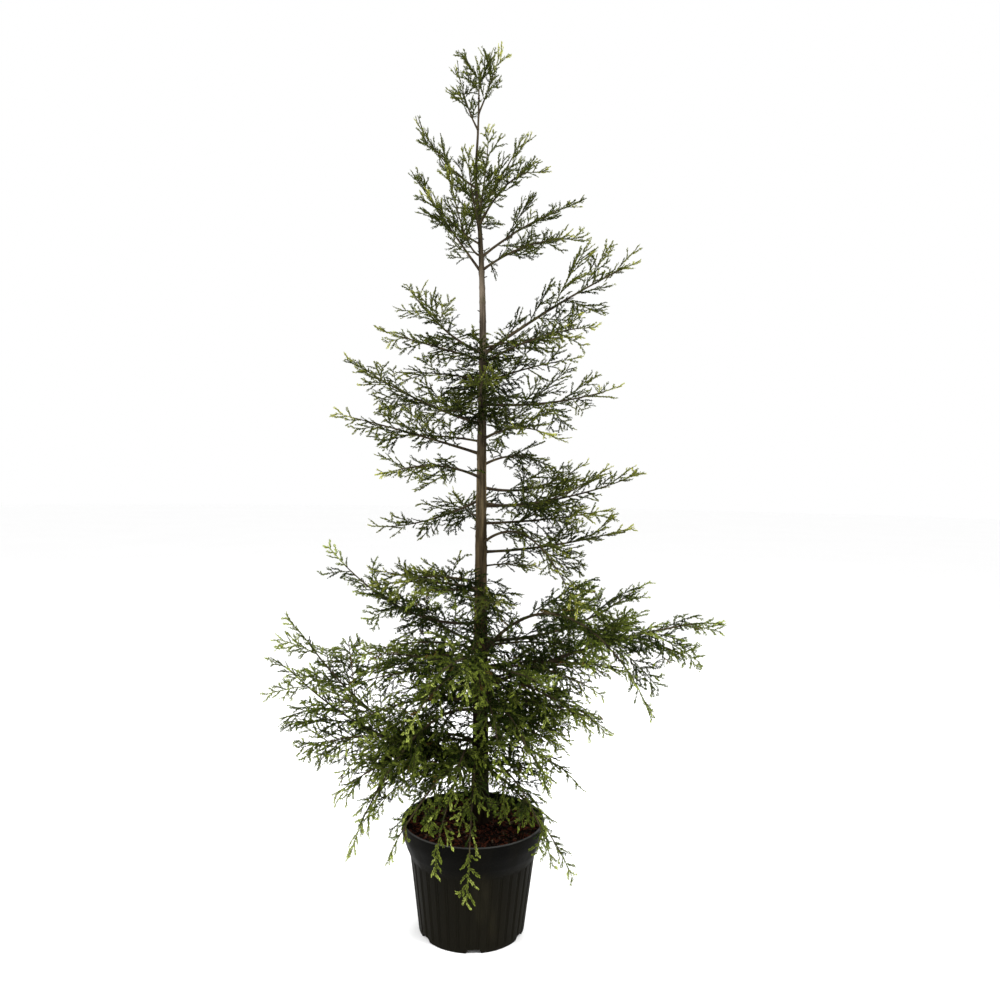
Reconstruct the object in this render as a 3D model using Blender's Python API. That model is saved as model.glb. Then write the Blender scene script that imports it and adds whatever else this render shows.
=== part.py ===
"""A young coast redwood, three metres tall, in a black nursery pot. Metres, +Z up.

The origin is the middle of the pot's flat underside and the viewer stands on the -Y side. The tree is a
whole trunk, main boughs that are one tapering limb each, and masses of foliage: every mass is a stem with
alternate toothed sprays of needles, grown by one seeded rule and joined into one body. A mass grows on from
its bough's tip or, where its limb is slender, straight from the trunk.
"""

import math
import random
from collections import namedtuple

import bmesh
import bpy
from mathutils import Vector
from mathutils.bvhtree import BVHTree

UP = Vector((0.0, 0.0, 1.0))
GAP = 0.0003  # between pieces that touch

# Pot: a nursery container of about 45 litres, with a flared collar over a tapering body. Each place on its
# outer wall is a radius and a height.
POT_FOOT = (0.1826, 0.004)
POT_BODY_SHOULDER = (0.2109, 0.230)
POT_BODY_TOP = (0.2155, 0.262)
POT_STEP = (0.2245, 0.284)
POT_COLLAR_FOOT = (0.2275, 0.290)
POT_COLLAR_TOP = (0.2440, 0.338)
POT_RIM = (0.2475, 0.372)
POT_HEIGHT = 0.378
POT_FOOT_ROUND = 0.004
POT_LIP_ROUND = 0.003
POT_LIP = 0.010  # thickness of the rolled lip
POT_WALL = 0.003
POT_STEP_WALL = 0.004
POT_FLOOR = 0.005
POT_SIDES = 32

# Notches that drain the pot, cut up into its foot and out through the wall
DRAIN_COUNT = 6
DRAIN_WIDTH = 0.050
DRAIN_TOP_SHARE = 0.8  # width at its top, as a share of its width at the floor
DRAIN_HEIGHT = 0.014
DRAIN_DEPTH = 0.009
DRAIN_FIRST_DEG = -86.0  # the one that faces the viewer
CUTTER_PAST = 0.010  # how far a cutter runs past what it cuts

# Soil: bark mulch, level round the trunk and falling a little towards the wall
SOIL_TOP = 0.3697
SOIL_LEVEL_RADIUS = 0.075
SOIL_SLOPE = (0.165, 0.364)
SOIL_EDGE = 0.355
SOIL_DRAIN_STEP = 0.006  # between the notches' top and the soil that stands out over them, and its height

# Trunk: height, place of its centre and radius, from its foot on the soil to its tip
TRUNK_STATIONS = (
    (0.370, 0.023, 0.000, 0.0330),
    (0.600, 0.022, 0.001, 0.0282),
    (0.900, 0.019, 0.004, 0.0248),
    (1.280, 0.015, 0.006, 0.0205),
    (1.600, 0.013, 0.005, 0.0165),
    (2.060, 0.011, 0.002, 0.0118),
    (2.250, 0.005, 0.000, 0.0095),
    (2.420, -0.005, -0.003, 0.0072),
    (2.570, -0.019, -0.002, 0.0052),
    (2.740, -0.014, 0.001, 0.0036),
    (2.840, -0.013, 0.002, 0.0027),
)
TRUNK_SIDES = 12
TRUNK_RING_STEP = 0.16
FLARE = 0.011
FLARE_HEIGHT = 0.035
FLARE_LOBES = 5
FLARE_LOBE_SHARE = 0.4
FLARE_RINGS = (0.012, 0.030, 0.055, 0.090, 0.140)

# Limbs: where one leaves the trunk, its heading in degrees round from +X, how far it reaches, how much it
# rises by its tip, how far it arches over (or sags under) the straight line, and the share of its length
# that is bare bough. A limb with no bare share is all foliage mass and grows from the trunk itself.
Limb = namedtuple("Limb", "name height heading reach rise arch bare")
LIMBS = (
    Limb("upper_1", 2.254, 165, 0.247, 0.345, -0.003, 0.0),
    Limb("upper_2", 2.261, -30, 0.366, 0.066, 0.034, 0.0),
    Limb("upper_3", 2.306, 28, 0.367, 0.234, 0.022, 0.0),
    Limb("upper_4", 2.540, 195, 0.207, 0.203, -0.028, 0.0),
    Limb("upper_5", 2.450, 18, 0.165, 0.295, -0.005, 0.0),
    Limb("upper_6", 2.737, 155, 0.084, 0.227, -0.025, 0.0),
    Limb("upper_7", 2.790, -20, 0.080, 0.205, -0.011, 0.0),
    Limb("upper_8", 2.370, -98, 0.270, 0.190, -0.010, 0.0),
    Limb("upper_9", 2.400, 97, 0.280, 0.230, -0.015, 0.0),
    Limb("middle_1", 1.976, 12, 0.576, 0.368, 0.018, 0.24),
    Limb("middle_2", 1.945, -38, 0.458, 0.081, 0.028, 0.0),
    Limb("middle_3", 1.986, 128, 0.484, 0.313, -0.043, 0.24),
    Limb("middle_4", 1.960, 218, 0.400, 0.060, -0.003, 0.0),
    Limb("middle_5", 1.740, 155, 0.544, 0.251, -0.026, 0.24),
    Limb("middle_6", 1.637, 190, 0.493, 0.128, 0.004, 0.24),
    Limb("middle_7", 1.555, 235, 0.498, 0.009, 0.033, 0.0),
    Limb("middle_8", 1.809, 27, 0.580, 0.097, -0.026, 0.24),
    Limb("middle_9", 1.483, 168, 0.391, -0.107, -0.025, 0.0),
    Limb("middle_10", 1.473, -22, 0.442, 0.121, -0.054, 0.24),
    Limb("middle_11", 1.301, 5, 0.521, 0.091, -0.018, 0.24),
    Limb("middle_12", 1.326, -42, 0.446, -0.178, 0.126, 0.0),
    Limb("middle_13", 1.780, -92, 0.440, 0.090, 0.010, 0.0),
    Limb("middle_14", 1.880, 85, 0.460, 0.140, -0.020, 0.0),
    Limb("middle_15", 1.430, 102, 0.520, 0.060, -0.030, 0.0),
    Limb("lower_1", 1.059, 168, 0.568, 0.248, -0.090, 0.24),
    Limb("lower_2", 0.885, 212, 0.470, 0.113, 0.021, 0.24),
    Limb("lower_3", 0.586, 158, 0.850, 0.287, -0.103, 0.27),
    Limb("lower_4", 0.544, 178, 0.600, 0.055, 0.079, 0.0),
    Limb("lower_5", 0.746, 205, 0.469, -0.423, 0.154, 0.24),
    Limb("lower_6", 0.631, 238, 0.482, -0.231, 0.059, 0.0),
    Limb("lower_7", 0.824, -10, 0.808, 0.278, 0.035, 0.27),
    Limb("lower_8", 0.945, -32, 0.648, -0.112, 0.222, 0.24),
    Limb("lower_9", 0.997, 32, 0.794, 0.165, -0.068, 0.27),
    Limb("lower_10", 0.560, -35, 0.386, -0.287, 0.060, 0.0),
    Limb("lower_11", 0.600, -97, 0.335, -0.360, 0.170, 0.0),
    Limb("lower_12", 0.720, 98, 0.690, 0.050, 0.020, 0.27),
    Limb("lower_13", 0.980, 128, 0.620, 0.120, -0.020, 0.24),
    Limb("lower_14", 0.610, 58, 0.650, -0.040, 0.060, 0.27),
    Limb("lower_15", 0.930, -100, 0.540, 0.050, 0.030, 0.0),
)
LEADER = Limb("top", 2.840, 90, 0.0, 0.120, 0.0, 0.0)
LIMB_RADIUS = 0.0020  # of a limb with no length, at the trunk
LIMB_RADIUS_GROWTH = 0.0066  # more for each metre of its length
LIMB_TIP_SHARE = 0.22  # of its radius at the trunk
COLLAR = 0.45  # swelling where it leaves the trunk
COLLAR_SHARE = 0.035
SWEEP = 0.08  # most sideways bend by the tip, as a share of the limb's length
BOUGH_SIDES = 6
BOUGH_RINGS = 5
STEM_SIDES = 3
STEM_RINGS = 6
LEAST_RADIUS = 0.0013
SLOPE_STEP = 0.01  # share of a limb each side of a point, from which its direction there is read
NEARLY_UPRIGHT = 0.2  # sine of the lean under which a direction counts as upright

# Foliage rule: alternate laterals along a limb, shorter and closer to it towards its tip
LATERAL_STEP = 0.062
LATERAL_STEP_JITTER = 0.2
LATERAL_FEWEST = 3
LATERAL_START = 0.18
LATERAL_PAST_BOUGH = 0.05
LATERAL_LENGTH = 0.35
LATERAL_LENGTH_JITTER = 0.15
LATERAL_TAPER = 0.58
LATERAL_LEAST = 0.090
LATERAL_FORWARD_DEG = 50.0
LATERAL_CLOSING_DEG = 12.0
LATERAL_JITTER_DEG = 9.0
LATERAL_LIFT_DEG = 55.0
SPRAY_ROLL_DEG = 48.0
SPACE = 0.38  # furthest foliage from its own limb, as a share of the limb's length
SPACE_LEAST = 0.120
SPACE_STEPS = 20  # points along the limb from which that distance is read
CLEAR = 0.0012  # kept between one mass and everything else
TIP_SPRAY = 0.16  # length of the spray at a limb's tip, as a share of the limb's length
TIP_SPRAY_MOST = 0.5
TIP_SPRAY_OUT = 0.8  # share of it that stands out of the stem's end

# Spray: half its outline as shares of its length and half width, then the ridge down its middle
SPRAY_HALF = ((0.36, 1.00), (0.24, 0.22), (0.66, 0.85), (0.53, 0.20), (0.92, 0.42))
SPRAY_RIDGE = ((0.06, 1.0), (0.45, 0.8))
SPRAY_NECK = 0.5  # half width of its root, as a share of the radius of the stem that it is sunk in
SPRAY_HALF_WIDTH = 0.27
SPRAY_LEAST_HALF_WIDTH = 0.025
SPRAY_HALF_THICKNESS = 0.012
SPRAY_DROOP = 0.10
SPRAY_SINK = 0.006  # how far the spray at a limb's tip starts inside its stem

BARK = (0.17, 0.095, 0.062)
BOUGH_BARK = (0.15, 0.10, 0.055)
NEEDLES = (0.075, 0.16, 0.035)
YOUNG_NEEDLES = (0.17, 0.29, 0.05)
PLASTIC = (0.022, 0.023, 0.019)
MULCH = (0.075, 0.035, 0.022)


def clear_scene():
    for thing in list(bpy.data.objects):
        bpy.data.objects.remove(thing, do_unlink=True)


def make_material(name, colour, roughness):
    material = bpy.data.materials.new(name)
    material.use_nodes = True
    shader = material.node_tree.nodes["Principled BSDF"]
    shader.inputs["Base Color"].default_value = (*colour, 1.0)
    shader.inputs["Roughness"].default_value = roughness
    shader.inputs["Metallic"].default_value = 0.0
    return material


def eased(rows, at):
    """The values of a table at one height, on a smooth curve through its rows."""
    last = len(rows) - 1
    low = max(0, min(last - 1, sum(row[0] <= at for row in rows) - 1))
    span = rows[low + 1][0] - rows[low][0]
    share = (at - rows[low][0]) / span
    found = []
    for column in range(1, len(rows[0])):
        slopes = []
        for row in (low, low + 1):
            before, after = rows[max(row - 1, 0)], rows[min(row + 1, last)]
            slopes.append((after[column] - before[column]) / (after[0] - before[0]) * span)
        start, end = rows[low][column], rows[low + 1][column]
        found.append(
            start
            + slopes[0] * share
            + (3 * (end - start) - 2 * slopes[0] - slopes[1]) * share**2
            + (2 * (start - end) + slopes[0] + slopes[1]) * share**3
        )
    return found


def trunk_radius(height, angle, extra=0.0):
    """The trunk's radius at a height and an angle round it, with the lobes of its root flare."""
    flare = FLARE * math.exp(-(height - TRUNK_STATIONS[0][0]) / FLARE_HEIGHT)
    lobes = 1.0 + FLARE_LOBE_SHARE * math.cos(FLARE_LOBES * angle)
    return eased(TRUNK_STATIONS, height)[2] + flare * lobes + extra


def trunk_ring(height, extra=0.0):
    x, y, _ = eased(TRUNK_STATIONS, height)
    ring = []
    for side in range(TRUNK_SIDES):
        turn = 2 * math.pi * side / TRUNK_SIDES
        radius = trunk_radius(height, turn, extra)
        ring.append(Vector((x + radius * math.cos(turn), y + radius * math.sin(turn), height)))
    return ring


def object_of(name, bm, material):
    mesh = bpy.data.meshes.new(name)
    bm.to_mesh(mesh)
    bm.free()
    mesh.materials.append(material)
    made = bpy.data.objects.new(name, mesh)
    bpy.context.scene.collection.objects.link(made)
    return made


def bridge(bm, rings):
    """Quads between rings, which run anticlockwise seen from the last one, with both ends closed."""
    loops = [[bm.verts.new(point) for point in ring] for ring in rings]
    for low, high in zip(loops, loops[1:]):
        for side in range(len(low)):
            after = (side + 1) % len(low)
            bm.faces.new((low[side], low[after], high[after], high[side]))
    bm.faces.new(reversed(loops[0]))
    bm.faces.new(loops[-1])


def ring_about(centre, along, radius, sides):
    """A ring of points square to a direction."""
    aside = along.cross(UP)
    aside = aside.normalized() if aside.length > NEARLY_UPRIGHT else Vector((1.0, 0.0, 0.0))
    under = along.cross(aside).normalized()
    aside = under.cross(along).normalized()
    turns = [2 * math.pi * side / sides for side in range(sides)]
    return [centre + radius * (math.cos(turn) * aside + math.sin(turn) * under) for turn in turns]


def add_tube(bm, rows, sides):
    """A tube with closed ends through rows of (centre, direction, radius)."""
    bridge(bm, [ring_about(*row, sides) for row in rows])


def turned(profile, sides):
    """A solid of revolution from a closed outline of (radius, height), which starts and ends on the axis."""
    bm = bmesh.new()
    rings = []
    for radius, height in profile[1:-1]:
        turns = [2 * math.pi * side / sides for side in range(sides)]
        rings.append([bm.verts.new((radius * math.cos(t), radius * math.sin(t), height)) for t in turns])
    for low, high in zip(rings, rings[1:]):
        for side in range(sides):
            after = (side + 1) % sides
            bm.faces.new((low[side], low[after], high[after], high[side]))
    for ring, (_, height), flip in ((rings[0], profile[0], True), (rings[-1], profile[-1], False)):
        hub = bm.verts.new((0, 0, height))
        for side in range(sides):
            pair = (ring[side], ring[(side + 1) % sides])
            bm.faces.new((hub, *reversed(pair)) if flip else (hub, *pair))
    return bm


def boolean(target, helpers, operation):
    """Applies one exact Boolean with a collection of helpers, then removes them."""
    group = bpy.data.collections.new("helpers")
    for helper in helpers:
        bpy.context.scene.collection.objects.unlink(helper)
        group.objects.link(helper)
    bpy.context.scene.collection.children.link(group)
    change = target.modifiers.new("Boolean", "BOOLEAN")
    change.operation = operation
    change.operand_type = "COLLECTION"
    change.collection = group
    change.solver = "EXACT"
    bpy.context.view_layer.update()
    graph = bpy.context.evaluated_depsgraph_get()
    mesh = bpy.data.meshes.new_from_object(target.evaluated_get(graph))
    target.modifiers.clear()
    target.data = mesh
    for helper in helpers:
        bpy.data.objects.remove(helper, do_unlink=True)
    bpy.data.collections.remove(group)


def islands(bm):
    """The separate bodies of a mesh, each as a list of its faces."""
    unseen = set(bm.faces)
    found = []
    while unseen:
        body, edge = [], [unseen.pop()]
        while edge:
            face = edge.pop()
            body.append(face)
            for loop in face.loops:
                for other in loop.edge.link_faces:
                    if other in unseen:
                        unseen.remove(other)
                        edge.append(other)
        found.append(body)
    return found


def keep_one_body(thing):
    """Drops loose scraps and fills sealed hollows, which leaves the largest body alone."""
    bm = bmesh.new()
    bm.from_mesh(thing.data)
    bodies = sorted(islands(bm), key=len)
    for body in bodies[:-1]:
        bmesh.ops.delete(bm, geom=body, context="FACES")
    bmesh.ops.triangulate(bm, faces=bm.faces[:])
    bm.to_mesh(thing.data)
    bm.free()


def surface_of(thing):
    mesh = thing.data
    return BVHTree.FromPolygons([v.co for v in mesh.vertices], [tuple(p.vertices) for p in mesh.polygons])


def pot_outside():
    """The outer wall as (radius, height), from the edge of its underside up to the top of the lip."""
    return [
        (POT_FOOT[0] - POT_FOOT_ROUND, 0.0),
        POT_FOOT,
        POT_BODY_SHOULDER,
        POT_BODY_TOP,
        POT_STEP,
        POT_COLLAR_FOOT,
        POT_COLLAR_TOP,
        POT_RIM,
        (POT_RIM[0] - POT_LIP_ROUND, POT_HEIGHT),
    ]


def pot_inside():
    """The inner wall as (radius, height), from the edge of the floor up to the top of the lip."""
    return [
        (POT_FOOT[0] - POT_WALL, POT_FLOOR),
        (POT_BODY_TOP[0] - POT_STEP_WALL, POT_BODY_TOP[1]),
        (POT_COLLAR_FOOT[0] - POT_STEP_WALL, POT_COLLAR_FOOT[1]),
        (POT_RIM[0] - POT_LIP, POT_RIM[1]),
        (POT_RIM[0] - POT_LIP + POT_LIP_ROUND, POT_HEIGHT),
    ]


def make_drain_cutter(turn, material):
    """A block, narrower at its top, that stands across the pot's foot at one angle round it."""
    bm = bmesh.new()
    bmesh.ops.create_cube(bm, size=1.0)
    for vert in bm.verts:
        out = POT_FOOT[0] + (CUTTER_PAST if vert.co.x > 0 else -DRAIN_DEPTH)
        aside = vert.co.y * DRAIN_WIDTH * (DRAIN_TOP_SHARE if vert.co.z > 0 else 1.0)
        height = DRAIN_HEIGHT if vert.co.z > 0 else -CUTTER_PAST
        x = out * math.cos(turn) - aside * math.sin(turn)
        y = out * math.sin(turn) + aside * math.cos(turn)
        vert.co = Vector((x, y, height))
    return object_of("drain", bm, material)


def make_pot(material):
    profile = [(0.0, 0.0), *pot_outside(), *reversed(pot_inside()), (0.0, POT_FLOOR)]
    pot = object_of("pot", turned(profile, POT_SIDES), material)
    turns = [math.radians(DRAIN_FIRST_DEG + 360 / DRAIN_COUNT * number) for number in range(DRAIN_COUNT)]
    boolean(pot, [make_drain_cutter(turn, material) for turn in turns], "DIFFERENCE")
    keep_one_body(pot)
    return pot


def radius_between(low, high, height):
    """The radius at a height on the straight line between two places on a wall."""
    share = (height - low[1]) / (high[1] - low[1])
    return low[0] + (high[0] - low[0]) * share


def make_soil(material):
    """The filling, clear of the wall by the usual gap and set back behind the drain notches."""
    foot, body_top, collar_foot, lip, _ = pot_inside()
    side_gap = 2 * GAP  # measured level, because the wall slants
    ledge = DRAIN_HEIGHT + SOIL_DRAIN_STEP
    ledge_top = ledge + SOIL_DRAIN_STEP
    profile = [
        (0.0, POT_FLOOR + GAP),
        (foot[0] - DRAIN_DEPTH, POT_FLOOR + GAP),
        (radius_between(foot, body_top, ledge) - DRAIN_DEPTH, ledge),
        (radius_between(foot, body_top, ledge_top) - side_gap, ledge_top),
        (body_top[0] - side_gap, body_top[1]),
        (collar_foot[0] - side_gap, collar_foot[1]),
        (radius_between(collar_foot, lip, SOIL_EDGE) - side_gap, SOIL_EDGE),
        SOIL_SLOPE,
        (SOIL_LEVEL_RADIUS, SOIL_TOP),
        (0.0, SOIL_TOP),
    ]
    return object_of("soil", turned(profile, POT_SIDES), material)


def make_trunk(name, material, extra=0.0):
    foot, tip = TRUNK_STATIONS[0][0], TRUNK_STATIONS[-1][0]
    heights = [foot, *(foot + rise for rise in FLARE_RINGS)]
    steps = round((tip - heights[-1]) / TRUNK_RING_STEP)
    heights += [heights[-1] + (tip - heights[-1]) * (step + 1) / steps for step in range(steps)]
    bm = bmesh.new()
    bridge(bm, [trunk_ring(height, extra) for height in heights])
    trunk = object_of(name, bm, material)
    trunk.data.shade_smooth()
    return trunk


class Growth:
    """One limb's curve, with the random numbers that its foliage uses, all drawn in a fixed order."""

    def __init__(self, limb):
        self.limb = limb
        self.draw = random.Random("redwood " + limb.name)
        turn = math.radians(limb.heading)
        self.out = Vector((math.cos(turn), math.sin(turn), 0.0))
        self.aside = Vector((-math.sin(turn), math.cos(turn), 0.0))
        self.length = math.hypot(limb.reach, limb.rise)
        tip_length = max(LATERAL_LEAST, TIP_SPRAY * self.length)
        self.stem_end = 1 - TIP_SPRAY_OUT * min(tip_length / self.length, TIP_SPRAY_MOST)
        self.sweep = self.draw.uniform(-SWEEP, SWEEP) * limb.reach
        x, y, _ = eased(TRUNK_STATIONS, limb.height)
        self.foot = Vector((x, y, limb.height))

    def point(self, share):
        limb = self.limb
        rise = limb.rise * share + 4 * limb.arch * share * (1 - share)
        return self.foot + self.out * limb.reach * share + self.aside * self.sweep * share**2 + UP * rise

    def along(self, share):
        return (self.point(share + SLOPE_STEP) - self.point(share - SLOPE_STEP)).normalized()

    def over(self, share):
        """The direction square to the limb, in its upright plane."""
        return self.along(share).cross(self.aside).normalized() * -1.0

    def radius(self, share):
        first = LIMB_RADIUS + LIMB_RADIUS_GROWTH * self.length
        collar = 1.0 + COLLAR * math.exp(-share / COLLAR_SHARE)
        return max(LEAST_RADIUS, first * (1 - (1 - LIMB_TIP_SHARE) * share) * collar)

    def rows(self, first, last, count):
        """Centre, direction and radius at even steps along a stretch of the limb."""
        shares = [first + (last - first) * step / count for step in range(count + 1)]
        return [(self.point(share), self.along(share), self.radius(share)) for share in shares]

    def laterals(self):
        """Each lateral of the limb: share along it, side, length, and its turns forward, up and rolled."""
        start = max(self.limb.bare + LATERAL_PAST_BOUGH, LATERAL_START)
        stretch = self.stem_end - start
        count = max(LATERAL_FEWEST, round(self.length * stretch / LATERAL_STEP))
        first_side = self.draw.choice((-1, 1))
        rows = []
        for number in range(count):
            along = (number + 0.5) / count
            moved = self.draw.uniform(-1, 1) * LATERAL_STEP_JITTER / count
            share = start + stretch * (along + moved)
            length = max(LATERAL_LEAST, LATERAL_LENGTH * self.length * (1 - LATERAL_TAPER * along))
            length *= 1 + self.draw.uniform(-1, 1) * LATERAL_LENGTH_JITTER
            forward = LATERAL_FORWARD_DEG - LATERAL_CLOSING_DEG * along
            forward += self.draw.uniform(-1, 1) * LATERAL_JITTER_DEG
            lift = self.draw.uniform(-1, 1) * LATERAL_LIFT_DEG
            roll = self.draw.uniform(-1, 1) * SPRAY_ROLL_DEG
            side = first_side * (-1) ** number
            rows.append((share, side, length, math.radians(forward), math.radians(lift), math.radians(roll)))
        return rows

    def stem(self):
        """The stem of the limb's mass, from the bough's tip or the trunk to the spray at its end."""
        limb = self.limb
        gap = GAP / self.length if limb.bare or limb is LEADER else 0.0
        bm = bmesh.new()
        add_tube(bm, self.rows(limb.bare + gap, self.stem_end, STEM_RINGS), STEM_SIDES)
        return bm

    def heading_of(self, share, side, forward, lift):
        sideways = math.cos(lift) * side * self.aside + math.sin(lift) * self.over(share)
        return (math.cos(forward) * self.along(share) + math.sin(forward) * sideways).normalized()


def spray_mesh(root, along, near, roll, length, neck, swell=0.0):
    """A spray of needles: a thin toothed blade, ridged down its middle, drooping a little to its tip.

    Its plane holds along and near, then is rolled about along. Its root is neck wide each side of the axis
    of the stem, and swell makes it larger all round.
    """
    across = (near - near.dot(along) * along).normalized()
    face = across.cross(along)
    across, face = (
        math.cos(roll) * across + math.sin(roll) * face,
        math.cos(roll) * face - math.sin(roll) * across,
    )
    if face.z < 0:
        face = -face
    width = max(SPRAY_LEAST_HALF_WIDTH, SPRAY_HALF_WIDTH * length)
    thick = SPRAY_HALF_THICKNESS * length

    def place(run, aside, lift):
        drop = SPRAY_DROOP * length * run**2
        return root + along * run * (length + swell) + across * aside + face * (lift - drop)

    bm = bmesh.new()
    halves = []
    for side in (1, -1):
        edge = [(0.0, neck), *((run, wide * width + swell) for run, wide in SPRAY_HALF)]
        halves.append([bm.verts.new(place(run, side * wide, 0.0)) for run, wide in edge])
    tip = bm.verts.new(place(1.0, 0.0, 0.0))
    for turn in (1, -1):
        ridge = [place(run, 0.0, turn * (tall * thick + swell)) for run, tall in SPRAY_RIDGE]
        low, high = [bm.verts.new(point) for point in ridge]
        bm.faces.new((low, halves[0][0], halves[1][0]))
        for root_corner, tooth, notch, second_tooth, second_notch, third_tooth in halves:
            bm.faces.new((low, root_corner, tooth))
            bm.faces.new((low, tooth, notch))
            bm.faces.new((low, notch, high))
            bm.faces.new((high, notch, second_tooth))
            bm.faces.new((high, second_tooth, second_notch))
            bm.faces.new((high, second_notch, third_tooth))
            bm.faces.new((high, third_tooth, tip))
    bmesh.ops.recalc_face_normals(bm, faces=bm.faces[:])
    return bm


def tree_of(bm):
    tree = BVHTree.FromBMesh(bm)
    bm.free()
    return tree


class Mass:
    """Grows one mass of foliage: a stem, then the sprays that stay in its space and touch nothing else."""

    def __init__(self, growth, obstacles, material):
        self.growth = growth
        self.obstacles = obstacles
        self.material = material
        self.name = "mass_" + growth.limb.name
        self.helpers = []
        self.curve = [growth.point(step / SPACE_STEPS) for step in range(SPACE_STEPS + 1)]
        self.space = max(SPACE_LEAST, SPACE * growth.length)

    def fits(self, swollen):
        """Whether a shape, made a little larger all round, keeps to the space and clear of everything."""
        far = max(min((vert.co - point).length for point in self.curve) for vert in swollen.verts)
        lowest = min(vert.co.z for vert in swollen.verts)
        tree = tree_of(swollen)
        if far > self.space or lowest < CLEAR:
            return False
        return not any(tree.overlap(other) for other in self.obstacles)

    def add_spray(self, share, along, near, roll, length):
        neck = SPRAY_NECK * self.growth.radius(share)
        form = (self.growth.point(share), along, near, roll, length, neck)
        if self.fits(spray_mesh(*form, CLEAR)):
            shape = spray_mesh(*form)
            self.helpers.append(object_of(self.name + "_spray", shape, self.material))

    def add_lateral(self, share, side, length, forward, lift, roll):
        along = self.growth.heading_of(share, side, forward, lift)
        self.add_spray(share, along, self.growth.along(share), roll, length)

    def grow(self, cutter):
        """The stem, its laterals and the spray at its tip, joined, and cut by the cutter if one is given."""
        growth = self.growth
        mass = object_of(self.name, growth.stem(), self.material)
        for row in growth.laterals():
            self.add_lateral(*row)
        root_share = growth.stem_end - SPRAY_SINK / growth.length
        to_tip = growth.point(1.0) - growth.point(root_share)
        roll = math.radians(growth.draw.uniform(-1, 1) * SPRAY_ROLL_DEG)
        self.add_spray(root_share, to_tip.normalized(), growth.aside, roll, to_tip.length)
        boolean(mass, self.helpers, "UNION")
        if cutter:
            boolean(mass, [cutter], "DIFFERENCE")
        keep_one_body(mass)
        return mass


def make_bough(growth, material, cutter):
    """The bare part of a limb, cut to the trunk's surface with the usual gap."""
    bm = bmesh.new()
    add_tube(bm, growth.rows(0.0, growth.limb.bare, BOUGH_RINGS), BOUGH_SIDES)
    bough = object_of("bough_" + growth.limb.name, bm, material)
    boolean(bough, [cutter], "DIFFERENCE")
    keep_one_body(bough)
    return bough


def make_crown(obstacles, bough_material, mature, young):
    growths = [Growth(limb) for limb in (LEADER, *LIMBS)]
    for growth in growths:
        if growth.limb.bare:
            cutter = make_trunk("cutter", bough_material, GAP)
            obstacles.append(surface_of(make_bough(growth, bough_material, cutter)))
    stems = [tree_of(growth.stem()) for growth in growths]
    for number, growth in enumerate(growths):
        limb = growth.limb
        others = stems[:number] + stems[number + 1 :]
        mass = Mass(growth, obstacles + others, mature if limb.bare else young)
        on_end = limb.bare or limb is LEADER
        cutter = None if on_end else make_trunk("cutter", bough_material, GAP)
        obstacles.append(surface_of(mass.grow(cutter)))


def main():
    clear_scene()
    plastic = make_material("pot plastic", PLASTIC, 0.55)
    mulch = make_material("bark mulch", MULCH, 0.95)
    bark = make_material("trunk bark", BARK, 0.85)
    bough_bark = make_material("bough bark", BOUGH_BARK, 0.8)
    mature = make_material("needles", NEEDLES, 0.6)
    young = make_material("young needles", YOUNG_NEEDLES, 0.55)
    pot = make_pot(plastic)
    soil = make_soil(mulch)
    trunk = make_trunk("trunk", bark)
    make_crown([surface_of(pot), surface_of(soil), surface_of(trunk)], bough_bark, mature, young)


main()
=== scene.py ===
"""The looks of a young coast redwood in its nursery pot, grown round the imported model. Metres, +Z up.

The limbs follow the model's own curves, and the same seeded rule deals out their sprays. Each spray is grown
on here to branchlets and needles. Trunk, limbs, pot and soil are fine meshes on the model's own sizes.
"""

import math
import random
from collections import namedtuple

import bpy
import numpy as np
from mathutils import Matrix, Vector


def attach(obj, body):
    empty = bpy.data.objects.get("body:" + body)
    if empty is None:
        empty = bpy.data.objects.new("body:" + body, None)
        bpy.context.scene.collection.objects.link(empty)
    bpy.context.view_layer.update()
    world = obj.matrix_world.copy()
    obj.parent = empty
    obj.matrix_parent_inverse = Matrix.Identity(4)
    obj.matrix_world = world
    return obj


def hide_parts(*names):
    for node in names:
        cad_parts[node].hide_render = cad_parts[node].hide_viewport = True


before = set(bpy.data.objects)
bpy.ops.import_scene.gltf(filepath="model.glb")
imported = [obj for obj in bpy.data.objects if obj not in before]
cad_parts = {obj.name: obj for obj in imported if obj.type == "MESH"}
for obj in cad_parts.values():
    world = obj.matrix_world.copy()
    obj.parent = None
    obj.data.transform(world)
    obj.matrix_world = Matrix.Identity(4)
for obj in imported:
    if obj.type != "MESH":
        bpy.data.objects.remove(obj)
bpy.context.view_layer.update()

UP = Vector((0.0, 0.0, 1.0))

# Camera, at the photo's place, height and slight tilt
CAMERA_PLACE = (0.078, -2.899, 1.563)
CAMERA_DOWN_DEG = 1.62
CAMERA_ROLL_DEG = 0.81
CAMERA_LENS_MM = 30.4
SENSOR_MM = 36.0

# Trunk, as in the model: height, place of its centre and radius
TRUNK_STATIONS = (
    (0.370, 0.023, 0.000, 0.0330),
    (0.600, 0.022, 0.001, 0.0282),
    (0.900, 0.019, 0.004, 0.0248),
    (1.280, 0.015, 0.006, 0.0205),
    (1.600, 0.013, 0.005, 0.0165),
    (2.060, 0.011, 0.002, 0.0118),
    (2.250, 0.005, 0.000, 0.0095),
    (2.420, -0.005, -0.003, 0.0072),
    (2.570, -0.019, -0.002, 0.0052),
    (2.740, -0.014, 0.001, 0.0036),
    (2.840, -0.013, 0.002, 0.0027),
)
TRUNK_FOOT = TRUNK_STATIONS[0][0]
TRUNK_TOP = TRUNK_STATIONS[-1][0]
FLARE = 0.011
FLARE_HEIGHT = 0.035
FLARE_LOBES = 5
FLARE_LOBE_SHARE = 0.4
TRUNK_SIDES = 72
TRUNK_RING_STEP = 0.006
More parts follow.
